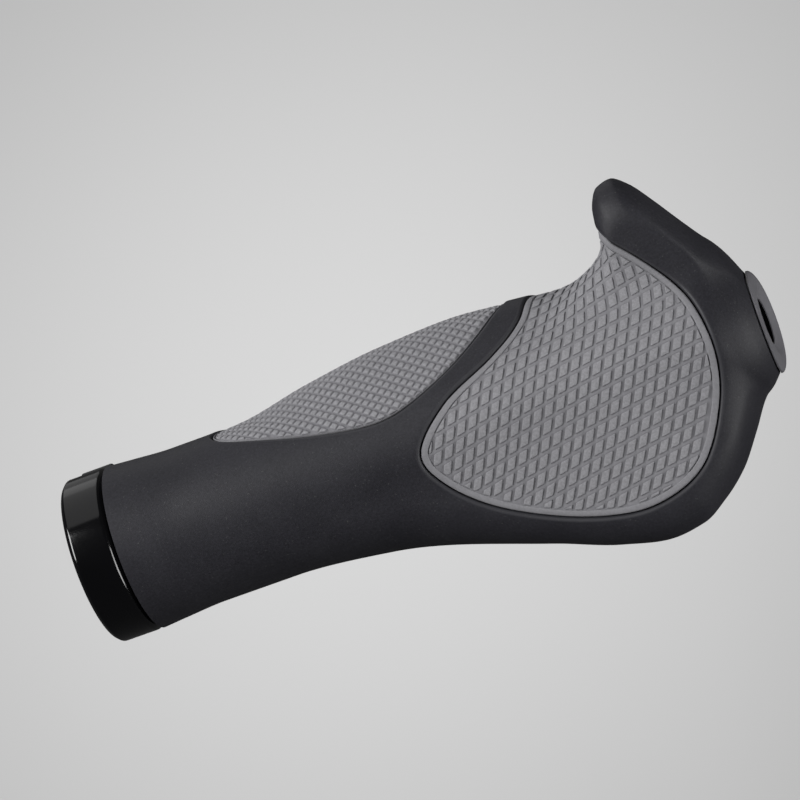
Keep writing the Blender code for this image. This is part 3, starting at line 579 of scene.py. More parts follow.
# %% Lattices
def lattice_cells(loop, origin, lattice_middle, pitches, angles, bend_radii):
    """Cells between two families of grooves that cover a loop, as corners on the sheet."""
    cross, long = np.radians(angles[0]), np.radians(angles[1])
    lean = abs(math.sin(cross - long))
    along_long = np.array([math.cos(long), -math.sin(long)]) * pitches[0] / lean
    along_cross = np.array([math.cos(cross), -math.sin(cross)]) * pitches[1] / lean

    def bent(point):
        u = point[0] - point[1] ** 2 / (2 * bend_radii[0])
        return origin + (u, point[1] + u ** 2 / (2 * bend_radii[1]))

    reach = np.max(np.linalg.norm(loop - origin - lattice_middle, axis=1)) + max(pitches) * 2
    count = int(reach / min(pitches)) + 1
    cells = []
    for i in range(-count, count):
        for j in range(-count, count):
            if np.linalg.norm(along_long * (i + 0.5) + along_cross * (j + 0.5)) > reach:
                continue
            corners = [(i, j), (i + 1, j), (i + 1, j + 1), (i, j + 1)]
            flat = [lattice_middle + along_long * a + along_cross * b for a, b in corners]
            cells.append(np.array([bent(point) for point in flat]))
    return cells


PALM_GROOVE_ANGLES = (67.0, 9.0)
FINGER_GROOVE_ANGLES = (47.5, -43.5)
palm_cells = lattice_cells(
    palm_outline, np.array([PALM_MIDDLE, 0.0]), lattice_middle=np.array([-0.93, -0.38]),
    pitches=(2.05, 2.68), angles=PALM_GROOVE_ANGLES, bend_radii=(156.0, 475.0),
)
finger_cells = lattice_cells(
    finger_outline, np.array([FINGER_MIDDLE, 0.0]), lattice_middle=np.array([0.07, -18.92]),
    pitches=(1.565, 1.7), angles=FINGER_GROOVE_ANGLES, bend_radii=(math.inf, math.inf),
)
print("cells that cover the pads and their surroundings:", len(palm_cells), len(finger_cells))

# %% The outline of one block
ALONG_CROSS = 0.85
NEARLY_STRAIGHT = -0.95
LARGEST_CUT = 0.4


def shrunk_cell(cell, distances):
    """The four-sided cell with its sides moved inwards, by one distance for each pair of sides."""
    centre = cell.mean(axis=0)
    moved = []
    for i in range(4):
        sides = []
        for k, start, end in ((i - 1, cell[i - 1], cell[i]), (i, cell[i], cell[(i + 1) % 4])):
            normal = np.array([-(end - start)[1], (end - start)[0]])
            normal /= np.linalg.norm(normal)
            if np.dot(normal, centre - start) < 0:
                normal = -normal
            sides.append((normal, np.dot(normal, start) + distances[k % 2]))
        moved.append(np.linalg.solve(np.array([sides[0][0], sides[1][0]]), [sides[0][1], sides[1][1]]))
    return np.array(moved)


def rounded_corners(polygon, radius, cross_degrees):
    """The polygon with rounded corners, and each point's share on a cross groove, from 0 to 1."""
    cross = math.radians(cross_degrees)

    def on_cross(side, length):
        return abs(side[0] * math.cos(cross) - side[1] * math.sin(cross)) / length > ALONG_CROSS

    loop, shares = [], []
    for i in range(len(polygon)):
        before, corner, after = polygon[i - 1], polygon[i], polygon[(i + 1) % len(polygon)]
        to_before, to_after = before - corner, after - corner
        left, right = np.linalg.norm(to_before), np.linalg.norm(to_after)
        if left < 1e-6 or right < 1e-6:
            continue
        first, last = on_cross(to_before, left), on_cross(to_after, right)
        if np.dot(to_before, to_after) / (left * right) < NEARLY_STRAIGHT:
            loop.append(corner)
            shares.append((first + last) / 2)
            continue
        start = corner + to_before / left * min(radius, left * LARGEST_CUT)
        end = corner + to_after / right * min(radius, right * LARGEST_CUT)
        loop += [start, (start + corner * 2 + end) / 4, end]
        shares += [first, (first + last) / 2, last]
    return np.array(loop), np.array(shares, float)


def polygon_area(polygon):
    """Area of a flat polygon."""
    ahead = np.roll(polygon, -1, axis=0)
    return abs(np.sum(polygon[:, 0] * ahead[:, 1] - ahead[:, 0] * polygon[:, 1])) / 2


print("area of a palm cell in mm2:", round(polygon_area(palm_cells[0]), 2))

# %% Sizes of the pads
PAD_RECESS = 0.35
PAD_THICKNESS = 1.1
BLOCK_CREASE = 60
HAIRLINE = 0.22
GROOVE_FOOT = 0.04
BAND_FLAT = 0.15
EDGE_TAG = 0.45

# Loops of a pad's outer edge: how far inside the edge and how far below the pad's top
PAD_EDGE = [(0.0, 0.34), (0.05, 0.17), (0.16, 0.05), (0.34, 0.0)]
# Loops of the band's inner edge: how far inside it, how far below the pad's top, and the tag. The
# middle loop's higher tag paints a thin highlight along the edge
BAND_EDGE = [(-0.14, 0.0, 0.5), (-0.05, 0.05, 0.7), (0.0, 0.2, 0.3)]
# Loops of a block from the groove's floor to its top: how far inside the groove's side, how deep
# as a share of the groove, and the tags beside a long groove and beside a cross groove
# Low tags paint the grooves darker, partly dust and partly painted shade. One family of grooves gets
# lower tags than the other as painted shade from the way the light falls: the palm pad's cross grooves
# and the finger pad's long grooves
FLAT_BLOCK = [
    (-0.17, 1.0, 0.36, 0.20), (-0.02, 1.0, 0.0, 0.05), (0.0, 0.35, 0.30, 0.30),
    (0.04, 0.10, 0.90, 0.90), (0.12, 0.0, 0.90, 0.90),
]
PILLOW_BLOCK = [
    (-0.05, 1.0, 0.0, 0.05), (0.02, 0.60, 0.20, 0.30), (0.09, 0.30, 0.65, 0.65),
    (0.19, 0.11, 1.0, 1.0), (0.30, 0.03, 1.0, 1.0),
]

# Widths, depths and corners in millimetres. Of each pair the first is for the long grooves
palm_sizes = {
    "outline": palm_outline, "cells": palm_cells, "cross_degrees": PALM_GROOVE_ANGLES[0],
    "band_width": 1.3, "widths": (0.72, 0.66), "depths": (0.22, 0.26),
    "profile": FLAT_BLOCK, "corner": 0.16,
}
finger_sizes = {
    "outline": finger_outline, "cells": finger_cells, "cross_degrees": FINGER_GROOVE_ANGLES[0],
    "band_width": 0.30, "widths": (0.40, 0.26), "depths": (0.42, 0.28),
    "profile": PILLOW_BLOCK, "corner": 0.20,
}
print("bands in mm:", palm_sizes["band_width"], finger_sizes["band_width"])

# %% The border of a pad
def pad_border(pad, groove):
    """A drawing with the rounded edge, the smooth band and the foot of the hairline groove."""
    outline = pad["outline"]
    band_inner = FIT + pad["band_width"]
    border = Drawing()
    for offset, drop in PAD_EDGE:
        if offset < pad["band_width"] - BAND_FLAT:
            border.add_loop(inset_loop(outline, FIT + offset), PAD_RECESS + drop, EDGE_TAG)
    for offset, drop, tag in BAND_EDGE:
        border.add_loop(inset_loop(outline, band_inner + offset), PAD_RECESS + drop, tag)
    border.add_loop(inset_loop(outline, band_inner + GROOVE_FOOT), groove, 0.0)
    return border


print("loops in the palm pad's border:", len(pad_border(palm_sizes, 0.0).edges) // len(palm_outline))

# %% The loops of a block
SMALLEST_SHARE = 0.10
CLEAR_OF_BAND = 0.8


def block_loops(pad, cell):
    """Loops of one block with their depths and tags, ended where a loop would be too small."""
    halves = [width / 2 for width in pad["widths"]]
    field_inset = FIT + pad["band_width"] + HAIRLINE
    field = inset_loop(pad["outline"], field_inset)
    smallest = polygon_area(shrunk_cell(pad["cells"][0], halves)) * SMALLEST_SHARE
    foot = shrunk_cell(cell, halves)
    clear = inside(field, foot).all() and distance_to(field, foot).min() > CLEAR_OF_BAND
    loops = []
    for inwards, drop, long_tag, cross_tag in pad["profile"]:
        loop = shrunk_cell(cell, [half + inwards for half in halves])
        if not clear:
            loop = clip_to_cell(inset_loop(pad["outline"], field_inset + inwards), loop)
        if len(loop) < 3 or polygon_area(loop) < smallest:
            break
        loop, on_cross = rounded_corners(loop, pad["corner"], pad["cross_degrees"])
        deep = pad["depths"][0] + (pad["depths"][1] - pad["depths"][0]) * on_cross
        tag = long_tag + (cross_tag - long_tag) * on_cross
        loops.append((loop, PAD_RECESS + drop * deep, tag))
    return loops


to_middle = [np.linalg.norm(cell.mean(axis=0) - (PALM_MIDDLE, 0)) for cell in palm_cells]
middle_cell = palm_cells[int(np.argmin(to_middle))]
print("loops of a block in the middle of the palm pad:", len(block_loops(palm_sizes, middle_cell)))

# %% The back of a pad
BACK_STEP = 1.5
BACK_MARGIN = 0.9


def pad_back(edge):
    """A drawing of the plain back, inside the same edge as the front."""
    low, high = edge.min(axis=0), edge.max(axis=0)
    rows = np.arange(low[0], high[0], BACK_STEP)
    columns = np.arange(low[1], high[1], BACK_STEP)
    grid = np.array([(u, v) for u in rows for v in columns])
    grid = grid[inside(edge, grid) & (distance_to(edge, grid) > BACK_MARGIN)]
    back = Drawing()
    back.add_loop(edge, PAD_RECESS + PAD_THICKNESS, 0.0)
    back.add_points(grid, PAD_RECESS + PAD_THICKNESS, 0.0)
    return back


print("points in the palm pad's back:", len(pad_back(inset_loop(palm_outline, FIT)).points))

# %% A whole pad
FEWEST_LOOPS = 3


def nearest(points, place):
    """Number of the point that lies nearest to a place."""
    return int(np.argmin(np.sum((points - place) ** 2, axis=1)))


def make_pad(name, pad, replaced):
    """A closed mesh from the front with its blocks, the back and the wall between the two."""
    groove = PAD_RECESS + max(pad["depths"])
    front_drawing = pad_border(pad, groove)
    blocks = 0
    for cell in pad["cells"]:
        if not inside(pad["outline"], cell).any():
            continue
        loops = block_loops(pad, cell)
        if len(loops) >= FEWEST_LOOPS:
            blocks += 1
            for loop, depth, tag in loops:
                front_drawing.add_loop(loop, depth, tag)
    flat, below_skin, tags, faces = front_drawing.triangles(only_inside=True, new_depth=groove)
    edge = inset_loop(pad["outline"], FIT)
    back_flat, back_below, back_tags, back_faces = pad_back(edge).triangles(only_inside=True)
    points = list(sheet_points(flat[:, 0], flat[:, 1], below_skin))
    first = len(points)
    points += list(sheet_points(back_flat[:, 0], back_flat[:, 1], back_below))
    faces += [tuple(first + i for i in face) for face in back_faces]
    above = [nearest(flat, place) for place in edge]
    below = [first + nearest(back_flat, place) for place in edge]
    for i in range(len(edge)):
        j = (i + 1) % len(edge)
        faces.append((above[i], above[j], below[j], below[i]))
    print(name, "has", blocks, "blocks")
    mesh = finished_mesh(name, points, faces, [*tags, *back_tags], BLOCK_CREASE)
    return new_piece(name, mesh, replaced)


palm_blocks = make_pad("palm_blocks", palm_sizes, "palm_pad")
finger_blocks = make_pad("finger_blocks", finger_sizes, "finger_pad")

# %% [markdown]
# ## Turned pieces
#
# The sleeve, the ring and the bolt are turned or moulded round. Each is a profile spun round an
# axis with many segments. Edges that catch the light get a small curve in the profile, because a
# perfectly sharp edge never shows a highlight.

# %% Turning a profile
SEGMENTS = 144
ROUNDING_STEPS = 7


def rounded_profile(corners):
    """A closed profile of (x, radius, rounding) corners, with a curve at each rounded corner."""
    profile = []
    for i, (x, radius, rounding) in enumerate(corners):
        corner = np.array([x, radius])
        if rounding == 0:
            profile.append((x, radius))
            continue
        before = np.array(corners[i - 1][:2]) - corner
        after = np.array(corners[(i + 1) % len(corners)][:2]) - corner
        start = corner + before / np.linalg.norm(before) * rounding
        end = corner + after / np.linalg.norm(after) * rounding
        for t in np.linspace(0, 1, ROUNDING_STEPS):
            point = start * (1 - t) ** 2 + corner * 2 * t * (1 - t) + end * t ** 2
            profile.append((float(point[0]), float(point[1])))
    return profile


def turned_points(profile):
    """Points and faces of a closed profile spun round the bar's axis."""
    points, faces = [], []
    for x, radius in profile:
        for k in range(SEGMENTS):
            turn = 2 * math.pi * k / SEGMENTS
            points.append((x, radius * math.cos(turn), radius * math.sin(turn)))
    for i in range(len(profile)):
        here, there = i * SEGMENTS, (i + 1) % len(profile) * SEGMENTS
        for k in range(SEGMENTS):
            j = (k + 1) % SEGMENTS
            faces.append((here + k, here + j, there + j, there + k))
    return points, faces


try_profile = rounded_profile([(0, 1, 0.1), (0, 2, 0), (1, 2, 0), (1, 1, 0)])
print("points of a profile with one round corner:", len(try_profile))

# %% Tools for Booleans
TURNED_CREASE = 32


def cutting_tool(name, shape):
    """An object for one Boolean."""
    mesh = bpy.data.meshes.new(name)
    shape.to_mesh(mesh)
    shape.free()
    tool = bpy.data.objects.new(name, mesh)
    bpy.context.scene.collection.objects.link(tool)
    return tool


def block_shape(low, high, rounding=0.0):
    """A block between two corners in millimetres, with rounded edges if asked for."""
    size = [(b - a) * MM for a, b in zip(low, high)]
    centre = [(a + b) / 2 * MM for a, b in zip(low, high)]
    shape = bmesh.new()
    bmesh.ops.create_cube(shape, size=1.0)
    bmesh.ops.scale(shape, vec=size, verts=shape.verts[:])
    bmesh.ops.translate(shape, vec=centre, verts=shape.verts[:])
    if rounding:
        bmesh.ops.bevel(
            shape, geom=shape.edges[:], offset=rounding * MM, segments=4, profile=0.5,
            affect="EDGES",
        )
    return shape


def turn_shape(shape, degrees):
    """The shape turned round the bar."""
    turn = Matrix.Rotation(math.radians(degrees), 3, "X")
    bmesh.ops.rotate(shape, verts=shape.verts[:], cent=(0, 0, 0), matrix=turn)
    return shape


def combined(mesh, tools):
    """The mesh after Booleans with the tools, which are removed afterwards."""
    work = bpy.data.objects.new("work", mesh)
    bpy.context.scene.collection.objects.link(work)
    for tool, operation in tools:
        change = work.modifiers.new(tool.name, "BOOLEAN")
        change.operation = operation
        change.solver = "EXACT"
        change.object = tool
    evaluated = work.evaluated_get(bpy.context.evaluated_depsgraph_get())
    result = bpy.data.meshes.new_from_object(evaluated)
    bpy.data.objects.remove(work)
    for tool, _ in tools:
        bpy.data.objects.remove(tool)
    result.shade_smooth()
    result.set_sharp_from_angle(angle=math.radians(TURNED_CREASE))
    return result


# %% [markdown]
# ## The hard sleeve
#
# The sleeve slides on the bar. Its slotted tail lies under the ring, so the ring can squeeze it,
# and its outer end is a round cap that covers the end of the rubber. The cap's face rises over a
# round shoulder to a crest and dips to a hole, where the wall thins to a lip and flares inwards.
# The face leans a few degrees upwards, so the hole shows from above. It is turned square to the bar
# first, and then each point of the face slides along the bar by its place in the face.

# %% Sleeve
CAP_RADIUS = 10.1
CAP_FACE = OUTER_END + 1.6
CAP_EDGE = OUTER_END + FIT + 0.2
CAP_CREST_RADIUS = 7.4
CAP_DISH = 0.84
CAP_LEAN = math.radians(5.9)
CAP_LEAN_TOWARDS = math.radians(110)
END_HOLE_RADIUS = 4.5
END_WALL = 0.9
END_LIP = 0.2
HOLE_FLARE = 2.2
TAIL_START = 0.4
TAIL_RADIUS = 12.2
NECK_BORE = NECK_RADIUS - 1.4

cap_rise = CAP_FACE - CAP_EDGE
shoulder_width = CAP_RADIUS - CAP_CREST_RADIUS
dish_width = END_HOLE_RADIUS - CAP_CREST_RADIUS
shoulder = [
    (CAP_EDGE + cap_rise * math.sin(t), CAP_CREST_RADIUS + shoulder_width * math.cos(t), 0)
    for t in np.linspace(0, math.pi / 2, 13)
]
dish = [
    (CAP_FACE - CAP_DISH * (1 - math.cos(t)) / 2, CAP_CREST_RADIUS + dish_width * t / math.pi, 0)
    for t in np.linspace(0, math.pi, 11)[1:-1]
]
cap_back = CAP_FACE - CAP_DISH - END_WALL
sleeve_profile = rounded_profile([
    (TAIL_START, BORE_RADIUS, 0.2),
    (TAIL_START, TAIL_RADIUS, 0.25),
    (INNER_END, TAIL_RADIUS, 0),
    (INNER_END, SLEEVE_RADIUS, 0.2),
    (SHOULDER, SLEEVE_RADIUS, 0.5),
    (SHOULDER + SHOULDER_LENGTH, NECK_RADIUS, 0.5),
    (OUTER_END + FIT, NECK_RADIUS, 0),
    (OUTER_END + FIT, CAP_RADIUS, 0),
    *shoulder,
    *dish,
    (CAP_FACE - CAP_DISH, END_HOLE_RADIUS, 0),
    (CAP_FACE - CAP_DISH - END_LIP, END_HOLE_RADIUS, 0),
    (cap_back, END_HOLE_RADIUS + HOLE_FLARE, 0),
    (cap_back, NECK_BORE, 0),
    (SHOULDER + SHOULDER_LENGTH, NECK_BORE, 0.5),
    (SHOULDER, BORE_RADIUS, 0.5),
])
square_points, sleeve_faces = turned_points(sleeve_profile)
sleeve_points = []
for x, y, z in square_points:
    rise = min(max((x - CAP_EDGE) / (CAP_FACE - CAP_EDGE), 0), 1)
    leaning = 1.0 if x > cap_back - FIT and math.hypot(y, z) < CAP_CREST_RADIUS else rise
    side = y * math.cos(CAP_LEAN_TOWARDS) + z * math.sin(CAP_LEAN_TOWARDS)
    sleeve_points.append((x - side * math.tan(CAP_LEAN) * leaning, y, z))
sleeve_mesh = finished_mesh("sleeve_blank", sleeve_points, sleeve_faces)

# %% Slots of the sleeve's tail
SLOT_WIDTH = 2.0
SLOT_END = 8.2
SLOT_ROUNDING = 0.4
SLOT_ANGLES = (45, 135)
slots = []
slot_reach = TAIL_RADIUS + FIT / 2
for slot_angle in SLOT_ANGLES:
    slot = block_shape(
        (-FIT, -slot_reach, -SLOT_WIDTH / 2), (SLOT_END, slot_reach, SLOT_WIDTH / 2), SLOT_ROUNDING,
    )
    tool = cutting_tool(f"slot_{slot_angle}", turn_shape(slot, slot_angle))
    slots.append((tool, "DIFFERENCE"))
hard_sleeve = new_piece("hard_sleeve", combined(sleeve_mesh, slots), "core_sleeve")
print("sleeve faces:", len(hard_sleeve.data.polygons))

# %% [markdown]
# ## The clamp ring and its bolt
#
# The ring is a short tube with chamfered edges. It is slit at a small lug, and a socket bolt across
# the slit pulls it tight. The lug is joined to the ring and the slit, the bolt's hole and the seat
# of its head are cut out, in the order in which a machinist would work.

# %% Ring
RING_WIDTH = 8.5
RING_RADIUS = 16.4
RING_BORE = 12.5
RING_CHAMFER = 0.8
LUG_ANGLE = -27.0
LUG_WALL = 0.9
SLIT_WIDTH = 1.2
BOLT_RADIUS = 1.25
HEAD_RADIUS = 2.25
HEAD_LENGTH = 2.5
SEAT_RADIUS = HEAD_RADIUS + FIT
BOLT_SEAT = 2.4
BOLT_CENTRE = RING_BORE + LUG_WALL + HEAD_RADIUS
LUG_TOP = BOLT_CENTRE + SEAT_RADIUS + LUG_WALL
LUG_HALF_WIDTH = SEAT_RADIUS + LUG_WALL
LUG_HALF_HEIGHT = BOLT_SEAT + FIT + HEAD_LENGTH + FIT

ring_profile = rounded_profile([
    (0, RING_BORE, 0.25),
    (0, RING_RADIUS - RING_CHAMFER, 0.25),
    (RING_CHAMFER, RING_RADIUS, 0.3),
    (RING_WIDTH - RING_CHAMFER, RING_RADIUS, 0.3),
    (RING_WIDTH, RING_RADIUS - RING_CHAMFER, 0.25),
    (RING_WIDTH, RING_BORE, 0.25),
])
ring_points, ring_faces = turned_points(ring_profile)
ring_mesh = finished_mesh("ring_blank", ring_points, ring_faces)

# %% The ring's lug, slit and holes
BOLT_SEGMENTS = 48
LUG_ROUNDING = 0.6
RING_MIDDLE = RING_WIDTH / 2


def rod_shape(radius, low, high, segments=BOLT_SEGMENTS):
    """A rod across the lug, through the bolt's place."""
    shape = bmesh.new()
    bmesh.ops.create_cone(
        shape, cap_ends=True, segments=segments, radius1=radius * MM, radius2=radius * MM,
        depth=(high - low) * MM,
    )
    centre = (RING_MIDDLE * MM, BOLT_CENTRE * MM, (low + high) / 2 * MM)
    bmesh.ops.translate(shape, vec=centre, verts=shape.verts[:])
    return shape


through = LUG_HALF_HEIGHT * 2
ring_shapes = {
    "lug": block_shape(
        (RING_MIDDLE - LUG_HALF_WIDTH, RING_BORE + LUG_WALL, -LUG_HALF_HEIGHT),
        (RING_MIDDLE + LUG_HALF_WIDTH, LUG_TOP, LUG_HALF_HEIGHT), LUG_ROUNDING,
    ),
    "slit": block_shape(
        (-FIT, RING_BORE - FIT * 2, -SLIT_WIDTH / 2),
        (RING_WIDTH + FIT, LUG_TOP + FIT, SLIT_WIDTH / 2),
    ),
    "shank_hole": rod_shape(BOLT_RADIUS + FIT, -through, through),
    "head_seat": rod_shape(SEAT_RADIUS, -through, -BOLT_SEAT),
}
ring_tools = [
    (cutting_tool(name, turn_shape(shape, LUG_ANGLE)), "UNION" if name == "lug" else "DIFFERENCE")
    for name, shape in ring_shapes.items()
]
gloss_ring = new_piece("gloss_ring", combined(ring_mesh, ring_tools), "clamp_ring")
print("ring faces:", len(gloss_ring.data.polygons))

# %% Bolt
BOLT_LENGTH = 8.0
SOCKET_RADIUS = 2.0 / 2 / math.cos(math.radians(30))
SOCKET_SIDES = 6
SOCKET_DEPTH = 1.3
SOCKET_ABOVE = 1.9
head_top = -BOLT_SEAT - FIT
head_end = head_top - HEAD_LENGTH
bolt_tip = head_top + BOLT_LENGTH
bolt_profile = [
    (head_end, HEAD_RADIUS - 0.45),
    (head_end + 0.08, HEAD_RADIUS - 0.2),
    (head_end + 0.3, HEAD_RADIUS),
    (head_top, HEAD_RADIUS),
    (head_top, BOLT_RADIUS),
    (bolt_tip - 0.3, BOLT_RADIUS),
    (bolt_tip, BOLT_RADIUS - 0.3),
]
bolt_points, bolt_faces = [], []
for height, radius in bolt_profile:
    for k in range(BOLT_SEGMENTS):
        turn = 2 * math.pi * k / BOLT_SEGMENTS
        across, outwards = radius * math.cos(turn), radius * math.sin(turn)
        bolt_points.append((RING_MIDDLE + across, BOLT_CENTRE + outwards, height))
last_circle = len(bolt_points) - BOLT_SEGMENTS
for here in range(0, last_circle, BOLT_SEGMENTS):
    there = here + BOLT_SEGMENTS
    for k in range(BOLT_SEGMENTS):
        j = (k + 1) % BOLT_SEGMENTS
        bolt_faces.append((here + k, here + j, there + j, there + k))
bolt_faces.append(tuple(range(BOLT_SEGMENTS)))
bolt_faces.append(tuple(range(last_circle, len(bolt_points))))
bolt_mesh = finished_mesh("bolt_blank", bolt_points, bolt_faces)
bolt_mesh.transform(Matrix.Rotation(math.radians(LUG_ANGLE), 4, "X"))
socket = rod_shape(SOCKET_RADIUS, head_end - SOCKET_ABOVE, head_end + SOCKET_DEPTH, SOCKET_SIDES)
bolt_tools = [(cutting_tool("socket", turn_shape(socket, LUG_ANGLE)), "DIFFERENCE")]
socket_bolt = new_piece("socket_bolt", combined(bolt_mesh, bolt_tools), "clamp_bolt")
print("bolt faces:", len(socket_bolt.data.polygons))

# %% [markdown]
# ## Shared effects
#
# Moulded rubber and plastic have a fine grain from the tool's blasted steel, and every handled
# surface is a little uneven in colour and gloss. Both effects are node groups, so each material
# uses the same recipe with its own amounts. A group gives out only what changes over the surface:
# a height for the bump, a tone that speckles the colour, a cloud mask and a mask of dust specks.

# %% Node helpers
def add(tree, kind, x, y, values=None, **settings):
    """A node with its settings, and the values of those of its inputs that nothing is linked to."""
    node = tree.nodes.new(kind)
    node.location = (x, y)
    for name, setting in settings.items():
        setattr(node, name, setting)
    for entry, value in (values or {}).items():
        node.inputs[entry].default_value = value
    return node


def join(tree, *links):
    """Links between nodes. Each is a node, its output, the next node and that one's input."""
    for source, output, target, entry in links:
        tree.links.new(source.outputs[output], target.inputs[entry])


def group_with(name, inputs, outputs):
    """An empty shader group with its sockets, and its input and output nodes."""
    tree = bpy.data.node_groups.new(name, "ShaderNodeTree")
    for label, default in inputs.items():
        socket = tree.interface.new_socket(name=label, in_out="INPUT", socket_type="NodeSocketFloat")
        socket.default_value = default
    for label in outputs:
        tree.interface.new_socket(name=label, in_out="OUTPUT", socket_type="NodeSocketFloat")
    print("group:", name, "gives", outputs)
    return tree, add(tree, "NodeGroupInput", -900, 0), add(tree, "NodeGroupOutput", 500, 0)


def noise_at(tree, x, y, scale, detail, roughness=0.5):
    """A noise in object coordinates, whose scale is in cells per metre."""
    coordinates = add(tree, "ShaderNodeTexCoord", x - 250, y)
    values = {"Scale": scale, "Detail": detail, "Roughness": roughness}
    noise = add(tree, "ShaderNodeTexNoise", x, y, values)
    join(tree, (coordinates, "Object", noise, "Vector"))
    return noise


# %% Moulded grain
BROAD_CELLS = 900.0
BROAD_SHARE = 0.5
TONE_CELLS = 2300.0
grain_tree, grain_in, grain_out = group_with(
    "moulded_grain", {"Cells per metre": 5000.0, "Depth": 1.0}, ["Height", "Tone"],
)
fine = noise_at(grain_tree, -500, 150, 1.0, 2.0)
broad = noise_at(grain_tree, -500, -150, BROAD_CELLS, 3.0)
mottle = noise_at(grain_tree, -500, -450, TONE_CELLS, 2.0, 0.6)
weighed = add(grain_tree, "ShaderNodeMath", -200, 0, {1: BROAD_SHARE}, operation="MULTIPLY_ADD")
deep = add(grain_tree, "ShaderNodeMath", 100, 0, operation="MULTIPLY")
join(
    grain_tree,
    (grain_in, "Cells per metre", fine, "Scale"),
    (broad, "Fac", weighed, 0),
    (fine, "Fac", weighed, 2),
    (weighed, 0, deep, 0),
    (grain_in, "Depth", deep, 1),
    (deep, 0, grain_out, "Height"),
    (mottle, "Fac", grain_out, "Tone"),
)

# %% Handling marks
CLOUD_CELLS = 60.0
SPECK_CELLS = 2600.0
SPECK_START = 0.78
SPECK_FULL = 0.85
marks_tree, marks_in, marks_out = group_with(
    "handling_marks", {"Speck share": 0.1}, ["Cloud", "Specks"],
)
cloud = noise_at(marks_tree, -500, 200, CLOUD_CELLS, 5.0, 0.6)
speck_noise = noise_at(marks_tree, -500, -200, SPECK_CELLS, 1.0)
speck_edge = add(marks_tree, "ShaderNodeMath", -200, -350, {0: SPECK_START}, operation="SUBTRACT")
speck_ramp = add(marks_tree, "ShaderNodeMapRange", 100, -200, {"From Max": SPECK_FULL})
join(
    marks_tree,
    (marks_in, "Speck share", speck_edge, 1),
    (speck_noise, "Fac", speck_ramp, "Value"),
    (speck_edge, 0, speck_ramp, "From Min"),
    (cloud, "Fac", marks_out, "Cloud"),
    (speck_ramp, "Result", marks_out, "Specks"),
)

# %% [markdown]
# ## The finishes
#
# Every finish starts in the same way: a colour that drifts a little with the cloud mask and is
# speckled by the grain's tone, a roughness that drifts with the cloud, and a bump from the grain.
# What differs is the amount. The two rubbers also read the tag that the meshes carry. On the pads
# the grooves are darker than the block tops, partly from dust and skin oil and partly as painted
# shade, and one family of grooves is painted darker than the other as shade from the way the light
# falls. A thin line along each band's inner edge and the lips of the black rubber's pockets are
# painted lighter as highlights.

# %% A common start for the finishes
NOISE_LOW = 0.3
NOISE_HIGH = 0.7
GRAIN_UNIT = 0.01 * MM


def finish(name, dark, light, roughness, grain_cells, grain_depth, specks=0.1, mottled=0.0):
    """A material with its shader, its colour node and its marks, ready for more nodes."""
    made = bpy.data.materials.new(name)
    made.use_nodes = True
    tree = made.node_tree
    shader = tree.nodes["Principled BSDF"]
    spread = {"From Min": NOISE_LOW, "From Max": NOISE_HIGH}
    marks = add(tree, "ShaderNodeGroup", -900, 100, {"Speck share": specks}, node_tree=marks_tree)
    grain_values = {"Cells per metre": grain_cells, "Depth": grain_depth}
    grain = add(tree, "ShaderNodeGroup", -900, -300, grain_values, node_tree=grain_tree)
    drift = add(tree, "ShaderNodeMapRange", -650, 150, spread)
    ends = {"A": (*dark, 1), "B": (*light, 1)}
    colour = add(tree, "ShaderNodeMix", -400, 200, ends, data_type="RGBA")
    rough_ends = {"To Min": roughness[0], "To Max": roughness[1]}
    rough = add(tree, "ShaderNodeMapRange", -400, -50, rough_ends)
    bump = add(tree, "ShaderNodeBump", -400, -300, {"Strength": 1.0, "Distance": GRAIN_UNIT})
    tone_values = {**spread, "To Min": 1 - mottled, "To Max": 1 + mottled}
    tone = add(tree, "ShaderNodeMapRange", -400, 500, tone_values)
    toned = add(
        tree, "ShaderNodeMix", -200, 200, {"Factor": 1.0}, data_type="RGBA", blend_type="MULTIPLY",
    )
    join(
        tree,
        (marks, "Cloud", drift, "Value"),
        (drift, "Result", colour, "Factor"),
        (drift, "Result", rough, "Value"),
        (grain, "Height", bump, "Height"),
        (grain, "Tone", tone, "Value"),
        (colour, "Result", toned, "A"),
        (tone, "Result", toned, "B"),
        (toned, "Result", shader, "Base Color"),
        (rough, "Result", shader, "Roughness"),
        (bump, "Normal", shader, "Normal"),
    )
    print("finish:", name, "with", len(tree.nodes), "nodes at the start")
    return made, shader, toned, marks


def paint(piece, made):
    """The piece's only material."""
    piece.data.materials.clear()
    piece.data.materials.append(made)


# %% Black rubber
black_rubber, shader, colour, marks = finish(
    "black_rubber", (0.0160, 0.0157, 0.0198), (0.0218, 0.0214, 0.0264), (0.48, 0.60),
    grain_cells=5200.0, grain_depth=2.6, mottled=0.22,
)
shader.inputs["Specular IOR Level"].default_value = 0.28
tree = black_rubber.node_tree
# The pockets' tagged lips are mixed towards a lighter grey, a painted highlight; the specks mixed in
# after it are real dust
painted_light_and_dust = add(tree, "ShaderNodeAttribute", -650, 500, attribute_name="painted_light_and_dust")
lip_highlight_share = add(tree, "ShaderNodeMath", -400, 500, {1: 0.6}, operation="MULTIPLY")
lip_highlight_values = {"B": (0.045, 0.045, 0.050, 1)}
lip_painted_highlight = add(tree, "ShaderNodeMix", -150, 300, lip_highlight_values, data_type="RGBA")
dusted = add(tree, "ShaderNodeMix", 50, 300, {"B": (0.06, 0.06, 0.06, 1)}, data_type="RGBA")
join(
    tree,
    (painted_light_and_dust, "Fac", lip_highlight_share, 0),
    (lip_highlight_share, 0, lip_painted_highlight, "Factor"),
    (colour, "Result", lip_painted_highlight, "A"),
    (lip_painted_highlight, "Result", dusted, "A"),
    (marks, "Specks", dusted, "Factor"),
    (dusted, "Result", shader, "Base Color"),
)
paint(moulded_body, black_rubber)

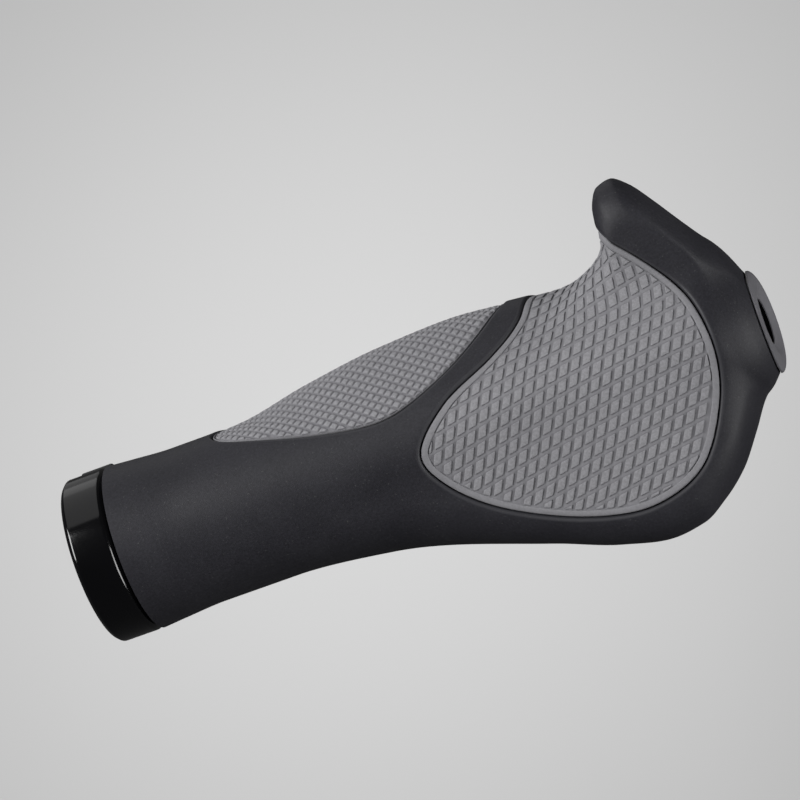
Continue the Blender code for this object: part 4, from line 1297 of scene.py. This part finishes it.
# %% Grey rubber
grey_rubber, shader, colour, _ = finish(
    "grey_rubber", (0.217, 0.215, 0.227), (0.246, 0.244, 0.257), (0.62, 0.74),
    grain_cells=4200.0, grain_depth=3.0, mottled=0.16,
)
shader.inputs["Specular IOR Level"].default_value = 0.35
tree = grey_rubber.node_tree
# Low tags mix the colour towards the darker groove colour: painted shade in the grooves, with some
# dust
painted_light_and_dust = add(tree, "ShaderNodeAttribute", -650, 500, attribute_name="painted_light_and_dust")
groove_shade_values = {"A": (0.166, 0.164, 0.176, 1)}
painted_groove_shade = add(tree, "ShaderNodeMix", -150, 300, groove_shade_values, data_type="RGBA")
join(
    tree,
    (painted_light_and_dust, "Fac", painted_groove_shade, "Factor"),
    (colour, "Result", painted_groove_shade, "B"),
    (painted_groove_shade, "Result", shader, "Base Color"),
)
paint(palm_blocks, grey_rubber)
paint(finger_blocks, grey_rubber)

# %% Hard pieces
black_plastic, *_ = finish(
    "black_plastic", (0.104, 0.102, 0.112), (0.132, 0.130, 0.141), (0.34, 0.42),
    grain_cells=3000.0, grain_depth=1.2,
)
black_gloss, gloss_shader, *_ = finish(
    "black_gloss", (0.0008, 0.0008, 0.0012), (0.0014, 0.0014, 0.0020), (0.09, 0.14),
    grain_cells=700.0, grain_depth=0.25,
)
gloss_shader.inputs["Specular IOR Level"].default_value = 0.64
dark_steel, steel_shader, *_ = finish(
    "dark_steel", (0.10, 0.10, 0.105), (0.14, 0.14, 0.145), (0.25, 0.38),
    grain_cells=2500.0, grain_depth=0.8,
)
steel_shader.inputs["Metallic"].default_value = 1.0
paint(hard_sleeve, black_plastic)
paint(gloss_ring, black_gloss)
paint(socket_bolt, dark_steel)
print("finishes:", [made.name for made in bpy.data.materials if made.users])

# %% [markdown]
# ## Floor and light
#
# The grip is carried by its bar, so it hangs well above a pale floor and its shadow is broad and
# faint. The floor's colour is paler in a pool behind the grip and fades outwards, a painted pool of
# light. Part of what the camera sees of it is an even glow in the same colour, so the far floor
# doesn't fall into the dark, while the light that it throws on the grip stays real. From below the
# floor is clear, because otherwise it would hide the underside.
#
# Two large soft boxes stand at the two ends of the bar, a little towards the camera. Their light
# runs along the bar, so it fills the long grooves and leaves the cross grooves dark. A weak panel
# over the front edge lights the top, and a small one behind it gives the ring its one clear
# reflection.

# %% Floor
FLOOR_DROP = 0.20
FLOOR_HALF = 3.0
floor_corners = [(-1, -1), (1, -1), (1, 1), (-1, 1)]
floor_mesh = bpy.data.meshes.new("floor")
floor_mesh.from_pydata(
    [(a * FLOOR_HALF, b * FLOOR_HALF, -FLOOR_DROP) for a, b in floor_corners], [], [(0, 1, 2, 3)],
)
floor = bpy.data.objects.new("floor", floor_mesh)
bpy.context.scene.collection.objects.link(floor)
floor.visible_glossy = False
print("floor below the bar in m:", FLOOR_DROP)

# %% Floor paint
# The floor is painted paler round a middle point behind the grip, a painted pool of light that fades
# outwards to the far colour
PAINTED_LIGHT_POOL_MIDDLE = (0.025, 0.080)
PAINTED_LIGHT_POOL_RADIUS = 0.24
PAINTED_LIGHT_POOL_COLOUR = (0.60, 0.60, 0.60, 1)
FAR_COLOUR = (0.37, 0.37, 0.37, 1)
EVEN_SHARE = 0.55
EVEN_STRENGTH = 1.15
floor_paint = bpy.data.materials.new("floor_paint")
floor_paint.use_nodes = True
tree = floor_paint.node_tree
matt = tree.nodes["Principled BSDF"]
matt.inputs["Roughness"].default_value = 0.9
matt.inputs["Specular IOR Level"].default_value = 0.0
place = add(tree, "ShaderNodeTexCoord", -1100, 0)
middle_values = {1: (*PAINTED_LIGHT_POOL_MIDDLE, -FLOOR_DROP)}
from_middle = add(tree, "ShaderNodeVectorMath", -900, 0, middle_values, operation="SUBTRACT")
away = add(tree, "ShaderNodeVectorMath", -700, 0, operation="LENGTH")
pool_values = {"From Max": PAINTED_LIGHT_POOL_RADIUS}
pool = add(tree, "ShaderNodeMapRange", -500, 0, pool_values, interpolation_type="SMOOTHSTEP")
painted_pool_ends = {"A": PAINTED_LIGHT_POOL_COLOUR, "B": FAR_COLOUR}
floor_colour = add(tree, "ShaderNodeMix", -250, 0, painted_pool_ends, data_type="RGBA")
glow = add(tree, "ShaderNodeEmission", -250, -300, {"Strength": EVEN_STRENGTH})
ray = add(tree, "ShaderNodeLightPath", -500, 300)
glow_share = add(tree, "ShaderNodeMath", -250, 300, {1: EVEN_SHARE}, operation="MULTIPLY")
evened = add(tree, "ShaderNodeMixShader", 50, 0)
side = add(tree, "ShaderNodeNewGeometry", 50, 300)
clear = add(tree, "ShaderNodeBsdfTransparent", 50, -300)
one_sided = add(tree, "ShaderNodeMixShader", 250, 0)
join(
    tree,
    (place, "Object", from_middle, 0),
    (from_middle, "Vector", away, 0),
    (away, "Value", pool, "Value"),
    (pool, "Result", floor_colour, "Factor"),
    (floor_colour, "Result", matt, "Base Color"),
    (floor_colour, "Result", glow, "Color"),
    (ray, "Is Camera Ray", glow_share, 0),
    (glow_share, 0, evened, "Fac"),
    (matt, "BSDF", evened, 1),
    (glow, "Emission", evened, 2),
    (side, "Backfacing", one_sided, "Fac"),
    (evened, "Shader", one_sided, 1),
    (clear, "BSDF", one_sided, 2),
    (one_sided, "Shader", tree.nodes["Material Output"], "Surface"),
)
floor_mesh.materials.append(floor_paint)
print("floor paint nodes:", len(tree.nodes))

# %% Lights
camera_right, camera_up, camera_back = (Vector(axis) for axis in to_world.transposed())

# Distances in metres as the camera sees them, the size of the rectangle and its power in watts
SOFT_BOXES = {
    "left_box": (-1.15, 0.20, 0.65, 0.8, 0.8, 21.0),
    "right_box": (1.15, 0.15, 0.65, 0.8, 0.8, 14.5),
    "front_panel": (-0.52, 0.97, -0.10, 0.9, 1.6, 2.1),
    "back_panel": (-0.38, 0.78, -0.78, 0.9, 0.8, 0.6),
}
for name, (right, up, back, width, height, watts) in SOFT_BOXES.items():
    light = bpy.data.lights.new(name, "AREA")
    light.shape = "RECTANGLE"
    light.size = width
    light.size_y = height
    light.energy = watts
    soft_box = bpy.data.objects.new(name, light)
    bpy.context.scene.collection.objects.link(soft_box)
    offset = camera_right * right + camera_up * up + camera_back * back
    soft_box.location = BAR_MIDDLE + offset
    soft_box.rotation_euler = (-offset).to_track_quat("-Z", "Y").to_euler()
    print(name, "gives", watts, "W from", [round(c, 2) for c in soft_box.location])

# %% [markdown]
# ## The room
#
# The world stands for the room. The camera sees it as pale as the floor. It lights the grip only a
# little, so the soft boxes do the work, and glossy surfaces see it darker still: a black ring in a
# pale room would look grey.

# %% World
ROOM_SEEN = 0.62
ROOM_LIGHT = 0.16
ROOM_IN_GLOSS = 0.05
world = bpy.data.worlds.new("studio")
bpy.context.scene.world = world
world.use_nodes = True
tree = world.node_tree
background = tree.nodes["Background"]
background.inputs["Color"].default_value = (1.0, 1.0, 1.0, 1)
ray = add(tree, "ShaderNodeLightPath", -600, 0)
fill_ends = {"To Min": ROOM_LIGHT, "To Max": ROOM_IN_GLOSS}
fill = add(tree, "ShaderNodeMapRange", -500, -200, fill_ends)
strength = add(tree, "ShaderNodeMapRange", -250, 0, {"To Max": ROOM_SEEN})
join(
    tree,
    (ray, "Is Glossy Ray", fill, "Value"),
    (fill, "Result", strength, "To Min"),
    (ray, "Is Camera Ray", strength, "Value"),
    (strength, "Result", background, "Strength"),
)
bpy.context.scene.view_settings.view_transform = "Standard"
print("room strengths seen, as light and in gloss:", ROOM_SEEN, ROOM_LIGHT, ROOM_IN_GLOSS)
